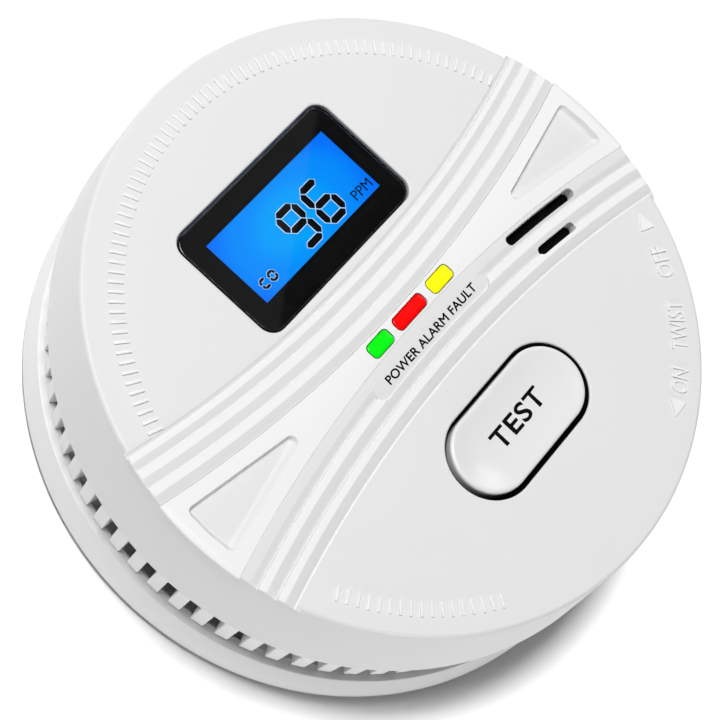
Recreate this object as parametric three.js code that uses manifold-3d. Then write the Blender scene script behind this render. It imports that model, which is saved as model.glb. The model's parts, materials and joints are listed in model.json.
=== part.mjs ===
// Round battery-powered carbon monoxide detector on its twist-lock mounting bracket.
// Millimetres, +Z up. The origin is the centre of the bracket's flat back, the face looks along +Z,
// +X is the reading direction of the face and +Y points from the test button to the display.
import * as THREE from 'three';
import { mergeVertices } from 'three/addons/utils/BufferGeometryUtils.js';
import Module from 'manifold-3d';

const wasm = await Module();
wasm.setup();

// ---- driving dimensions ----
const gap = 0.3;                 // clearance between pieces that meet
const turnSides = 48;            // facets of the large round pieces

// case outline
const faceRadius = 52.5;         // rim of the face
const faceEdge = 0.6;            // rounding of the rim
const skirtFlare = 1.3;          // the skirt's lower edge stands out from the rim by this
const skirtHeight = 17.5;
const skirtWall = 1.7;
const faceThickness = 2.2;
const ventInset = 0.8;           // the teeth's lower ends stand in from the rim by this
const ventLean = 0.5;            // and their upper ends lean out by this
const toothCount = 72;
const toothDepth = 4.1;
const notchShare = 0.46;         // share of the pitch that is notch
const notchTop = 1.2;            // solid ring left above the notches
const ventWindow = 6;            // height of the air holes behind the notches
const ventWindowEvery = 3;       // one air hole behind every third notch

// bracket
const bracketBulge = 1.6;        // the bracket's widest line stands out from the rim by this
const bracketHeight = 7;
const bracketPlate = 2.2;
const lugCount = 3;
const lugSpan = 16;              // degrees
const lugThickness = 1.4;
const bayonetSpace = 2.8;        // drum to the bracket's rim
const bayonetClearance = 0.4;
const stopSpan = 2;              // degrees
const stopGap = 0.4;             // degrees between a tab and its stop
const screwSlotWidth = 3.8;
const screwSlotSpan = 34;        // degrees
const openingMargin = 3.7;       // bracket opening beyond the door's corners

// rear housing, from the wall up to the board
const plateLift = 3.2;           // the housing's back stands off the wall by this
const plateThickness = 2;
const drumWall = 1.2;
const flangeHeight = 2.8;        // collar that enters the skirt
const bayWall = 1.5;
const boardGap = 2;              // bay ceiling to board
const boardThickness = 1.6;
const frontSpace = 9.2;          // board to the underside of the face

// cells
const cellDiameter = 14.5;
const cellLength = 50.5;
const cellNub = 1;
const cellNubRadius = 2.75;
const cellPitchGap = 0.7;
const cellSideGap = 0.5;
const cellFloorGap = 0.45;       // door to cells
const cellCeilingGap = 0.35;
const springLength = 4.2;
const springWire = 0.45;
const springTurns = 3;
const contactThickness = 0.3;
const contactSize = 11;
const solderTabWidth = 3;

// battery door
const barrelRadius = 1.2;
const barrelLift = 1.4;          // hinge axis above the door's outer face
const pintleRadius = 0.7;
const pintleLength = 1.1;
const fingerTabWidth = 10;
const fingerTabReach = 2.6;
const fingerTabThickness = 1.2;
const hingeNeck = 1.6;           // slim web between the barrel and the door's plate
const hingeNeckThickness = 1.2;
const doorRibs = [-16, 0, 16];

// screws that join the cover to the housing
const postCircleInset = 4.9;     // post centres in from the drum's inner wall
const screwShankRadius = 1.5;
const screwHeadRadius = 2.8;
const screwHeadHeight = 2;
const headClearance = 0.45;
const postWall = 1.35;
const postWeb = 2.7;             // material under the screw head
const postDrop = 4;              // post tops below the board
const bossRadius = 3.2;
const screwEngagement = 9;

// screws that hold the board to the cover
const boardPosts = [[-40, 8], [0, -40], [38, 15]];
const boardPostRadius = 2.8;
const boardScrewRadius = 1.1;
const boardScrewHead = 2.2;
const boardScrewHeadHeight = 1.3;
const boardScrewEngagement = 5;
const boardMargin = 1.9;         // board edge in from the drum's inner wall

// raised band across the face and the curved ribs beside it
const bandMiddle = -0.35;
const bandHalfWidth = 1.75;
const ribArcRadius = 228;
const grooveDepth = 0.9;
const upperGrooves = [[0, 1.5], [3.05, 4.6], [6.1, 7.65]];
const lowerGrooves = [[4.7, 6.6], [8.0, 9.6]];
const splitGroove = [1.8, 3.2];  // stops short of the legend
const shelfDepth = 0.3;          // shallow shelf next to the band on the button side
const shelfWidth = 1.8;
const legendHalfWidth = 13.4;
const legendDrop = 4.7;
const triangleTip = 25.6;
const triangleBase = 50.3;
const triangleHalfHeight = 4.6;
const triangleDepth = 1;

// sounder
const sounderX = 30.5;
const sounderY = -7.5;
const sounderRadius = 12.5;
const sounderWall = 1.2;
const sounderPort = 3;
const sounderLedge = 2.4;        // height of the ledge under the disc
const piezoThickness = 0.3;
const ceramicRadius = 7.5;
const slots = [
  { offset: 1.4, width: 1.7, from: 22.4, to: 38.8 },
  { offset: 6.0, width: 1.5, from: 25.4, to: 34.2 },
];

// display
const windowX = -0.6;
const windowY = 23.1;
const windowWidth = 37;
const windowHeight = 21.2;
const windowCorner = 2.5;
const windowInset = 0.2;         // below the face
const windowThickness = 1.2;
const maskThickness = 0.5;
const displayWidth = 29.6;
const displayHeight = 12.8;
const lcdThickness = 1.6;
const lcdMargin = 1.2;           // glass beyond the lit area
const backlightThickness = 2.2;
const lcdFrameWall = 1.6;
const connectorWidth = 1.8;

// indicator lights
const lightY = -0.2;
const lights = [
  { name: 'green', x: -7.4, width: 5.5, colour: 0x12d522 },
  { name: 'red', x: 0.4, width: 7.5, colour: 0xf20d0d },
  { name: 'yellow', x: 8.6, width: 5.8, colour: 0xf5ee12 },
];
const lensHeight = 2.8;
const lensCorner = 0.8;
const lensProud = 0.2;
const lensClearance = 0.15;
const lensFlange = 0.7;
const ledRadius = 1.5;
const ledHeight = 4.6;

// test button and its switch
const buttonX = -0.4;
const buttonY = -24.7;
const buttonLength = 29;
const buttonWidth = 13.4;
const buttonClearance = 1;
const buttonProud = 0.6;
const buttonCapHeight = 4;
const buttonTravel = 1;
const buttonFlange = 1;          // lip that keeps the cap in its well
const buttonFlangeHeight = 1.3;
const stemRadius = 2.6;
const switchSize = 6;
const switchHeight = 3.5;
const plungerRadius = 1.75;
const plungerProud = 1.8;

// gas sensor, hung under the board
const sensorRadius = 9.2;
const sensorCanHeight = 15;
const sensorCapHeight = 2;
const sensorInlet = 1.4;
const sensorPinRadius = 0.6;
const sensorPinSpacing = 10;
const sensorPinOffset = 3;       // pins stand off the can's axis, clear of the display frame

// parts on the board
const chip = { x: -28, y: -8, size: 10, height: 1.5, legs: 4 };
const capacitor = { x: -25, y: -18, radius: 3.15, height: 7.7 };
const inductor = { x: -30, y: 7, radius: 4, height: 7.4 };

// ---- derived levels and radii ----
const skirtRadius = faceRadius + skirtFlare;
const ventRadius = faceRadius - ventInset;
const ventTopRadius = ventRadius + ventLean;
const drumRadius = ventRadius - toothDepth;
const drumInner = drumRadius - drumWall;
const bracketRadius = faceRadius + bracketBulge;
const rimInner = drumRadius + bayonetSpace;
const lugInner = drumRadius + bayonetClearance;
const tabTop = plateLift + lugThickness;

const plateTop = plateLift + plateThickness;
const cellAxisZ = plateTop + cellFloorGap + cellDiameter / 2;
const bayCeiling = cellAxisZ + cellDiameter / 2 + cellCeilingGap;
const bayTop = bayCeiling + bayWall;
const boardBottom = bayTop + boardGap;
const boardTop = boardBottom + boardThickness;
const faceUnder = boardTop + frontSpace;
const faceTop = faceUnder + faceThickness;
const skirtBottom = faceTop - skirtHeight;
const ventBottom = bracketHeight + gap;
const ventTop = skirtBottom - gap;

const bayHalfX = (cellLength + springLength + 3 * gap) / 2 + contactThickness;
const cellPitch = cellDiameter + cellPitchGap;
const bayHalfY = cellPitch + cellDiameter / 2 + cellSideGap;
const openingRadius = Math.hypot(bayHalfX, bayHalfY) + openingMargin;
const doorHalfX = bayHalfX - gap;
const hingeY = -(bayHalfY - gap - barrelRadius);
const hingeZ = plateLift + barrelLift;

const postRadius = screwHeadRadius + headClearance + postWall;
const postCircle = drumInner - postCircleInset;
const postTop = boardBottom - postDrop;
const boardRadius = drumInner - boardMargin;
const sensorY = (drumInner + bayHalfY + bayWall) / 2;
const flangeTop = ventTop + flangeHeight;
const flangeRadius = skirtRadius - skirtWall - 2 * gap;
const componentBase = boardTop + gap;

// ---- geometry helpers ----
function toSolid(geometry) {
  const bare = geometry.clone();
  bare.deleteAttribute('normal');
  bare.deleteAttribute('uv');
  const merged = mergeVertices(bare, 1e-4);
  const index = Array.from(merged.index.array);
  const kept = [];
  for (let i = 0; i < index.length; i += 3) {
    const [a, b, c] = index.slice(i, i + 3);
    if (a !== b && b !== c && a !== c) kept.push(a, b, c);
  }
  const build = (tris) => new wasm.Manifold(new wasm.Mesh({
    numProp: 3,
    vertProperties: new Float32Array(merged.attributes.position.array),
    triVerts: new Uint32Array(tris),
  }));
  const solid = build(kept);
  if (solid.volume() >= 0) return solid;
  const flipped = [];
  for (let i = 0; i < kept.length; i += 3) flipped.push(kept[i], kept[i + 2], kept[i + 1]);
  return build(flipped);
}

function toGeometry(solid) {
  const mesh = solid.getMesh();
  const geometry = new THREE.BufferGeometry();
  geometry.setAttribute('position', new THREE.BufferAttribute(new Float32Array(mesh.vertProperties), 3));
  geometry.setIndex(new THREE.BufferAttribute(new Uint32Array(mesh.triVerts), 1));
  geometry.computeVertexNormals();
  return geometry;
}

function box(x0, x1, y0, y1, z0, z1) {
  const geometry = new THREE.BoxGeometry(x1 - x0, y1 - y0, z1 - z0);
  return toSolid(geometry.translate((x0 + x1) / 2, (y0 + y1) / 2, (z0 + z1) / 2));
}

function rod(radius, z0, z1, x = 0, y = 0, sides = 24) {
  const geometry = new THREE.CylinderGeometry(radius, radius, z1 - z0, sides).rotateX(Math.PI / 2);
  return toSolid(geometry.translate(x, y, (z0 + z1) / 2));
}

function turned(profile, sides = turnSides) {
  const points = profile.map(([r, z]) => new THREE.Vector2(r, z));
  return toSolid(new THREE.LatheGeometry(points, sides).rotateX(Math.PI / 2));
}

function closedTurned(profile, sides = turnSides) {
  return turned([...profile, profile[0]], sides);
}

function extruded(shape, z0, z1, curveSegments = 8) {
  const geometry = new THREE.ExtrudeGeometry(shape, { depth: z1 - z0, bevelEnabled: false, curveSegments });
  return toSolid(geometry.translate(0, 0, z0));
}

function roundedRectangle(cx, cy, width, height, corner) {
  const shape = new THREE.Shape();
  const [x, y] = [width / 2 - corner, height / 2 - corner];
  shape.absarc(cx + x, cy + y, corner, 0, Math.PI / 2);
  shape.absarc(cx - x, cy + y, corner, Math.PI / 2, Math.PI);
  shape.absarc(cx - x, cy - y, corner, Math.PI, Math.PI * 1.5);
  shape.absarc(cx + x, cy - y, corner, Math.PI * 1.5, Math.PI * 2);
  shape.closePath();
  return shape;
}

// part of a ring between two radii, about the origin, from one angle to another in degrees
function ringSector(r0, r1, from, to, z0, z1, curveSegments = 6) {
  const [a0, a1] = [THREE.MathUtils.degToRad(from), THREE.MathUtils.degToRad(to)];
  const shape = new THREE.Shape();
  shape.absarc(0, 0, r1, a0, a1, false);
  shape.absarc(0, 0, r0, a1, a0, true);
  shape.closePath();
  return extruded(shape, z0, z1, curveSegments);
}

// band that follows the ribs: side +1 is the display side, -1 the button side
function ribBand(side, near, far, xFrom, xTo, z0, z1, curveSegments = 8) {
  const centreY = bandMiddle + side * (bandHalfWidth + ribArcRadius);
  const angleAt = (x, radius) => -side * Math.PI / 2 + side * Math.asin(x / radius);
  const [outer, inner] = [ribArcRadius - near, ribArcRadius - far];
  const shape = new THREE.Shape();
  shape.absarc(0, centreY, outer, angleAt(xFrom, outer), angleAt(xTo, outer), side < 0);
  shape.absarc(0, centreY, inner, angleAt(xTo, inner), angleAt(xFrom, inner), side > 0);
  shape.closePath();
  return extruded(shape, z0, z1, curveSegments);
}

function ribLineY(side, offset, x) {
  const radius = ribArcRadius - offset;
  return bandMiddle + side * (bandHalfWidth + ribArcRadius - Math.sqrt(radius * radius - x * x));
}

function joined(solids) {
  return solids.reduce((sum, solid) => sum.add(solid));
}

// evenly spaced angles round a full turn, in degrees
function steps(count, start) {
  return Array.from({ length: count }, (_, i) => start + (i * 360) / count);
}

function polar(radius, degrees) {
  const angle = THREE.MathUtils.degToRad(degrees);
  return [radius * Math.cos(angle), radius * Math.sin(angle)];
}

const postCentres = steps(4, 45).map((angle) => polar(postCircle, angle));

function material(colour, roughness, metalness = 0) {
  return new THREE.MeshStandardMaterial({ color: colour, roughness, metalness });
}

function piece(name, solid, look) {
  const mesh = new THREE.Mesh(solid.isBufferGeometry ? solid : toGeometry(solid), look);
  mesh.name = name;
  return mesh;
}

// ---- mounting bracket ----
function mountingBracket() {
  const foot = bracketRadius - 0.7;
  const lip = ventRadius + 1;
  let body = closedTurned([
    [openingRadius, 0], [foot, 0], [bracketRadius, 0.9], [bracketRadius, 2],
    [bracketRadius - 0.35, 4.2], [lip + 0.2, 6.4], [lip - 0.3, bracketHeight],
    [rimInner, bracketHeight], [rimInner, bracketPlate], [openingRadius, bracketPlate],
  ]);
  const lugBottom = tabTop + bayonetClearance;
  const lugTop = lugBottom + lugThickness;
  for (const angle of steps(lugCount, 90)) {
    const stopEnd = angle - lugSpan / 2 - stopGap;
    body = body
      .add(ringSector(lugInner, rimInner + 0.5, stopEnd, angle + lugSpan / 2, lugBottom, lugTop))
      .add(ringSector(lugInner, rimInner + 0.5, stopEnd - stopSpan, stopEnd, bracketPlate - 0.5, lugTop));
  }
  const slotRadius = (openingRadius + lugInner) / 2;
  const slotDepth = [-1, bracketPlate + 1];
  for (const angle of steps(4, 0)) {
    const [from, to] = [angle - screwSlotSpan / 2, angle + screwSlotSpan / 2];
    const [near, far] = [slotRadius - screwSlotWidth / 2, slotRadius + screwSlotWidth / 2];
    body = body.subtract(ringSector(near, far, from, to, ...slotDepth));
    for (const end of [from, to]) {
      body = body.subtract(rod(screwSlotWidth / 2, ...slotDepth, ...polar(slotRadius, end), 12));
    }
  }
  return piece('mounting_bracket', body, material(0xe4e4e4, 0.45));
}

// ---- rear housing ----
function rearHousing() {
  let body = turned([
    [0, plateLift], [drumRadius, plateLift], [drumRadius, ventBottom], [ventRadius, ventBottom],
    [ventTopRadius, ventTop], [flangeRadius, ventTop],
    [flangeRadius, flangeTop], [drumInner, flangeTop], [drumInner, plateTop], [0, plateTop],
  ], toothCount);
  const notchHalf = (Math.PI * ventRadius / toothCount) * notchShare;
  const notchEnd = ventTop - notchTop;
  const windowMiddle = (ventBottom + notchEnd) / 2;
  const notch = box(drumRadius, ventTopRadius + 1, -notchHalf, notchHalf, ventBottom - 0.2, notchEnd);
  const airHole = box(
    drumInner - 0.5, drumRadius + 1, -notchHalf, notchHalf,
    windowMiddle - ventWindow / 2, windowMiddle + ventWindow / 2,
  );
  const firstNotch = 180 / toothCount;
  const copies = (cutter, count) => (
    joined(steps(count, firstNotch).map((angle) => cutter.rotate([0, 0, angle])))
  );
  body = body.subtract(copies(notch, toothCount)).subtract(copies(airHole, toothCount / ventWindowEvery));

  const tabOuter = rimInner - bayonetClearance;
  const tabs = steps(lugCount, 90).map((angle) => (
    ringSector(drumRadius - 0.6, tabOuter, angle - lugSpan / 2, angle + lugSpan / 2, plateLift, tabTop)
  ));
  const [outerX, outerY] = [bayHalfX + bayWall, bayHalfY + bayWall];
  const bay = box(-outerX, outerX, -outerY, outerY, plateLift, bayTop);
  const posts = postCentres.map(([x, y]) => rod(postRadius, plateTop - 0.5, postTop, x, y, 16));
  body = joined([body, ...tabs, bay, ...posts]);

  const bayHollow = box(-bayHalfX, bayHalfX, -bayHalfY, bayHalfY, plateLift - 1, bayCeiling);
  const tabHalf = fingerTabWidth / 2 + gap;
  const tabNotchTop = plateLift + fingerTabThickness + gap;
  const tabNotchEnd = bayHalfY + fingerTabReach;
  const tabNotch = box(-tabHalf, tabHalf, bayHalfY - 0.5, tabNotchEnd, plateLift - 1, tabNotchTop);
  body = body.subtract(bayHollow).subtract(tabNotch);
  for (const side of [-1, 1]) {
    const bearing = rod(pintleRadius + gap, -bayWall - 0.1, bayWall + 0.1, 0, 0, 12).rotate([0, 90, 0]);
    body = body.subtract(bearing.translate([side * bayHalfX, hingeY, hingeZ]));
    const slotHalf = solderTabWidth / 2 + gap;
    const plateX = side * (bayHalfX - contactThickness / 2 - gap);
    const slotHalfX = contactThickness / 2 + gap;
    body = body.subtract(box(
      plateX - slotHalfX, plateX + slotHalfX,
      side * cellPitch - slotHalf, side * cellPitch + slotHalf, bayCeiling - 1, bayTop + 1,
    ));
  }
  for (const [x, y] of postCentres) {
    body = body.subtract(rod(screwHeadRadius + headClearance, plateLift - 1, postTop - postWeb, x, y, 16));
    body = body.subtract(rod(screwShankRadius + gap, plateLift, postTop + 1, x, y, 12));
  }
  return piece('rear_housing', body, material(0xdedede, 0.5));
}

// ---- front cover ----
function coverShell() {
  const edge = [20, 45, 70].map((degrees) => {
    const [r, z] = polar(faceEdge, degrees);
    return [faceRadius - faceEdge + r, faceTop - faceEdge + z];
  });
  const outline = [
    [0, faceUnder], [faceRadius - skirtWall, faceUnder], [skirtRadius - skirtWall, skirtBottom],
    [skirtRadius, skirtBottom], [faceRadius, faceTop - faceEdge], ...edge,
    [faceRadius - faceEdge, faceTop], [0, faceTop],
  ];
  return turned(outline);
}

function faceRelief() {
  const [full, top] = [faceRadius + 3, faceTop + 1];
  const [floor, shelf] = [faceTop - grooveDepth, faceTop - shelfDepth];
  const cutters = [
    ...upperGrooves.map(([near, far]) => ribBand(1, near, far, -full, full, floor, top)),
    ...lowerGrooves.map(([near, far]) => ribBand(-1, near, far, -full, full, floor, top)),
    ribBand(-1, 0, shelfWidth, -full, full, shelf, top),
    ribBand(-1, 0.5, legendDrop + 0.2, -legendHalfWidth, legendHalfWidth, shelf, top),
  ];
  for (const side of [-1, 1]) {
    const [x0, x1] = side < 0 ? [-full, -legendHalfWidth] : [legendHalfWidth, full];
    cutters.push(ribBand(-1, ...splitGroove, x0, x1, floor, top));
    const recess = new THREE.Shape();
    recess.moveTo(side * triangleTip, bandMiddle);
    recess.lineTo(side * triangleBase, bandMiddle + triangleHalfHeight);
    recess.lineTo(side * triangleBase, bandMiddle - triangleHalfHeight);
    recess.closePath();
    cutters.push(extruded(recess, faceTop - triangleDepth, top));
  }
  return joined(cutters);
}

function sounderSlot({ offset, width, from, to }) {
  const reach = [faceUnder - 1, faceTop + 1];
  const ends = [from + width / 2, to - width / 2];
  const band = ribBand(-1, offset - width / 2, offset + width / 2, ...ends, ...reach, 6);
  return joined([band, ...ends.map((x) => rod(width / 2, ...reach, x, ribLineY(-1, offset, x), 12))]);
}

function frontCover() {
  let body = coverShell();
  const bosses = postCentres.map(([x, y]) => rod(bossRadius, postTop + gap, faceUnder + 0.5, x, y, 16));
  const boardBosses = boardPosts.map(([x, y]) => (
    rod(boardPostRadius, componentBase, faceUnder + 0.5, x, y, 14)
  ));
  body = joined([body, ...bosses, ...boardBosses]).subtract(faceRelief());
  const through = [faceUnder - 1, faceTop + 1];
  const grown = (cx, cy, width, height, corner, by) => (
    roundedRectangle(cx, cy, width + 2 * by, height + 2 * by, corner + by)
  );
  const windowHole = grown(windowX, windowY, windowWidth, windowHeight, windowCorner, gap);
  const well = grown(buttonX, buttonY, buttonLength, buttonWidth, buttonWidth / 2, buttonClearance);
  const lensHoles = lights.map(({ x, width }) => (
    extruded(grown(x, lightY, width, lensHeight, lensCorner, lensClearance), ...through, 3)
  ));
  const coverPilotTop = postTop + screwEngagement + 1;
  const boardPilotTop = componentBase + boardScrewEngagement + 1;
  const pilotHoles = [
    ...postCentres.map(([x, y]) => rod(screwShankRadius + gap, postTop, coverPilotTop, x, y, 12)),
    ...boardPosts.map(([x, y]) => rod(boardScrewRadius + gap, boardTop, boardPilotTop, x, y, 10)),
  ];
  const openings = [
    extruded(windowHole, ...through, 4), extruded(well, ...through, 6),
    ...lensHoles, ...slots.map(sounderSlot), ...pilotHoles,
  ];
  return piece('front_cover', body.subtract(joined(openings)), material(0xececec, 0.4));
}

// ---- screws ----
function screw(name, shankRadius, headRadius, headHeight, length) {
  const profile = [
    [0, -headHeight], [headRadius * 0.8, -headHeight], [headRadius, -headHeight * 0.6], [headRadius, 0],
    [shankRadius, 0], [shankRadius, length - shankRadius], [shankRadius * 0.35, length], [0, length],
  ];
  const arm = headRadius * 0.62;
  const cross = box(-arm, arm, -0.4, 0.4, -headHeight - 1, -headHeight * 0.45)
    .add(box(-0.4, 0.4, -arm, arm, -headHeight - 1, -headHeight * 0.45));
  return piece(name, turned(profile, 10).subtract(cross), material(0xb8b8b8, 0.3, 0.9));
}

function coverScrews() {
  const seat = postTop - postWeb - gap;
  const length = postWeb + 2 * gap + screwEngagement;
  return postCentres.map(([x, y], i) => {
    const mesh = screw(`cover_screw_${i + 1}`, screwShankRadius, screwHeadRadius, screwHeadHeight, length);
    mesh.position.set(x, y, seat);
    return mesh;
  });
}

function boardScrews() {
  const length = boardThickness + 2 * gap + boardScrewEngagement;
  return boardPosts.map(([x, y], i) => {
    const name = `board_screw_${i + 1}`;
    const mesh = screw(name, boardScrewRadius, boardScrewHead, boardScrewHeadHeight, length);
    mesh.position.set(x, y, boardBottom - gap);
    return mesh;
  });
}

// ---- display ----
function display() {
  const group = new THREE.Group();
  group.position.set(windowX, windowY, 0);
  const windowTop = faceTop - windowInset;
  const windowBottom = windowTop - windowThickness;
  const outline = roundedRectangle(0, 0, windowWidth, windowHeight, windowCorner);
  group.add(piece('lcd_window', extruded(outline, windowBottom, windowTop, 4), material(0x0a0a0c, 0.06)));

  const maskTop = windowBottom - 0.05;
  const maskOutline = roundedRectangle(0, 0, windowWidth - 0.4, windowHeight - 0.4, windowCorner);
  const mask = extruded(maskOutline, maskTop - maskThickness, maskTop, 4).subtract(
    box(-displayWidth / 2, displayWidth / 2, -displayHeight / 2, displayHeight / 2, maskTop - 2, maskTop + 1),
  );
  group.add(piece('window_mask', mask, material(0x060606, 0.5)));

  const glassTop = maskTop - maskThickness - 0.1;
  const [glassX, glassY] = [displayWidth / 2 + lcdMargin, displayHeight / 2 + lcdMargin];
  const glass = box(-glassX, glassX, -glassY, glassY, glassTop - lcdThickness, glassTop);
  group.add(piece('lcd_glass', glass, material(0x0a8cff, 0.15)));

  const lightTop = glassTop - lcdThickness - gap;
  const light = box(-glassX, glassX, -glassY, glassY, lightTop - backlightThickness, lightTop);
  group.add(piece('lcd_backlight', light, material(0xeef4ff, 0.4)));

  const frameTop = faceUnder - gap;
  const [pocketX, pocketY] = [glassX + gap, glassY + gap];
  const connectorSpace = connectorWidth + 2 * gap;
  const frame = box(
    -pocketX - lcdFrameWall, pocketX + lcdFrameWall, -pocketY - lcdFrameWall,
    pocketY + connectorSpace + lcdFrameWall, componentBase, frameTop,
  );
  const floorTop = lightTop - backlightThickness - gap;
  const frameOpen = [
    box(-pocketX, pocketX, -pocketY, pocketY, floorTop, frameTop + 1),
    box(-pocketX + 3, pocketX - 3, -pocketY + 3, pocketY - 3, boardTop, floorTop + 1),
    box(-pocketX, pocketX, pocketY - 0.5, pocketY + connectorSpace, boardTop, frameTop + 1),
  ];
  group.add(piece('lcd_frame', frame.subtract(joined(frameOpen)), material(0xf2f2f2, 0.5)));

  const stripY = pocketY + gap;
  const strip = box(
    -glassX + 1, glassX - 1, stripY, stripY + connectorWidth, componentBase, glassTop - lcdThickness,
  );
  group.add(piece('lcd_connector', strip, material(0xe58b9a, 0.7)));
  return group;
}

// ---- indicator lights ----
function lensSolid(width) {
  const flangeTopZ = faceUnder - gap;
  const bottom = componentBase + ledHeight + gap;
  const outline = (height) => roundedRectangle(0, 0, width, height, lensCorner);
  const upper = extruded(outline(lensHeight), bottom, faceTop + lensProud, 3);
  return upper.add(extruded(outline(lensHeight + 2 * lensFlange), bottom, flangeTopZ, 3));
}

function ledSolid() {
  const straight = ledHeight - ledRadius;
  const dome = [0, 30, 60, 90].map((degrees) => {
    const angle = THREE.MathUtils.degToRad(degrees);
    return [degrees === 90 ? 0 : ledRadius * Math.cos(angle), straight + ledRadius * Math.sin(angle)];
  });
  return turned([[0, 0], [ledRadius + 0.4, 0], [ledRadius + 0.4, 0.8], [ledRadius, 0.8], ...dome], 16);
}

function indicatorLights() {
  return lights.flatMap(({ name, x, width, colour }) => {
    const lens = piece(`led_lens_${name}`, lensSolid(width), material(colour, 0.25));
    const led = piece(`led_${name}`, ledSolid(), material(colour, 0.2));
    lens.position.set(x, lightY, 0);
    led.position.set(x, lightY, componentBase);
    return [lens, led];
  });
}

// ---- test button and switch ----
function testButton() {
  const capTop = faceTop + buttonProud;
  const rise = 0.7;
  const bottom = capTop - buttonCapHeight;
  const outline = (shrink) => roundedRectangle(
    0, 0, buttonLength - 2 * shrink, buttonWidth - 2 * shrink, buttonWidth / 2 - shrink,
  );
  const lip = outline(-buttonClearance - buttonFlange);
  const lipTop = faceUnder - gap;
  const cap = joined([
    extruded(outline(0), bottom, capTop - rise, 5),
    extruded(outline(0.6), capTop - rise - 0.1, capTop, 5),
  ]);
  const dish = extruded(outline(1.6), capTop - 0.4, capTop + 1, 5);
  const stemBottom = componentBase + switchHeight + plungerProud + gap;
  const solid = joined([
    cap.subtract(dish),
    extruded(lip, lipTop - buttonFlangeHeight, lipTop, 5),
    rod(stemRadius, stemBottom, bottom + 0.5, 0, 0, 20),
  ]);
  const mesh = piece('test_button', solid, material(0xf0f0f0, 0.3));
  mesh.position.set(buttonX, buttonY, 0);
  return mesh;
}

function tactSwitch() {
  const group = new THREE.Group();
  group.position.set(buttonX, buttonY, componentBase);
  const half = switchSize / 2;
  const bore = switchHeight - buttonTravel - 2 * gap - 0.6;
  const body = box(-half, half, -half, half, 0, switchHeight)
    .subtract(rod(plungerRadius + gap, bore, switchHeight + 1, 0, 0, 20));
  group.add(piece('tact_switch_body', body, material(0x2a2a2c, 0.5)));
  const plunger = rod(plungerRadius, bore + buttonTravel + gap, switchHeight + plungerProud, 0, 0, 20);
  group.add(piece('tact_switch_plunger', plunger, material(0xd8d8d8, 0.5)));
  return group;
}

// ---- circuit board and what stands on it ----
function circuitBoard() {
  let board = rod(boardRadius, boardBottom, boardTop, 0, 0, 48);
  for (const [x, y] of postCentres) {
    board = board.subtract(rod(bossRadius + 2 * gap, boardBottom - 1, boardTop + 1, x, y, 16));
  }
  for (const [x, y] of boardPosts) {
    board = board.subtract(rod(boardScrewRadius + gap, boardBottom - 1, boardTop + 1, x, y, 12));
  }
  for (const side of [-1, 1]) {
    const x = (side * sensorPinSpacing) / 2;
    const y = sensorY + sensorPinOffset;
    board = board.subtract(rod(sensorPinRadius + gap, boardBottom - 1, boardTop + 1, x, y, 8));
  }
  return piece('circuit_board', board, material(0x1f6b3a, 0.5));
}

function microcontroller() {
  const half = chip.size / 2;
  let body = box(-half, half, -half, half, 0.3, chip.height);
  const pitch = (chip.size - 2) / (chip.legs - 1);
  for (let i = 0; i < chip.legs; i += 1) {
    const at = -half + 1 + i * pitch;
    body = body.add(box(-half - 1.1, half + 1.1, at - 0.2, at + 0.2, 0, 0.6));
  }
  const mesh = piece('microcontroller', body, material(0x18181a, 0.5));
  mesh.position.set(chip.x, chip.y, componentBase);
  return mesh;
}

function canCapacitor() {
  const { x, y, radius, height } = capacitor;
  const body = turned([
    [0, 0], [radius, 0], [radius, 1], [radius - 0.25, 1.3], [radius, 1.6], [radius, height - 0.3],
    [radius - 0.3, height], [0, height],
  ], 20);
  const mesh = piece('capacitor', body, material(0x8f959c, 0.35, 0.6));
  mesh.position.set(x, y, componentBase);
  return mesh;
}

function drumInductor() {
  const { x, y, radius, height } = inductor;
  const waist = radius * 0.82;
  const body = turned([
    [0, 0], [radius, 0], [radius, 1.2], [waist, 1.2], [waist, height - 1.2], [radius, height - 1.2],
    [radius, height], [0, height],
  ], 20);
  const mesh = piece('inductor', body, material(0x3a3330, 0.6));
  mesh.position.set(x, y, componentBase);
  return mesh;
}

function gasSensor() {
  const group = new THREE.Group();
  group.position.set(0, sensorY, 0);
  const top = boardBottom - gap;
  const bottom = top - sensorCanHeight;
  let can = turned([
    [0, bottom], [sensorRadius, bottom], [sensorRadius, top - 0.8], [sensorRadius - 0.8, top], [0, top],
  ], 24);
  for (const side of [-1, 1]) {
    const pinX = (side * sensorPinSpacing) / 2;
    can = can.add(rod(sensorPinRadius, top - 0.5, boardTop + 0.8, pinX, sensorPinOffset, 8));
  }
  group.add(piece('co_sensor_can', can, material(0xc9ccd0, 0.3, 0.8)));
  const capTop = bottom - gap;
  const cap = rod(sensorRadius, capTop - sensorCapHeight, capTop, 0, 0, 24)
    .subtract(rod(sensorInlet, capTop - sensorCapHeight - 1, capTop + 1, 0, 0, 12));
  group.add(piece('co_sensor_cap', cap, material(0xf4f4f4, 0.6)));
  return group;
}

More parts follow.
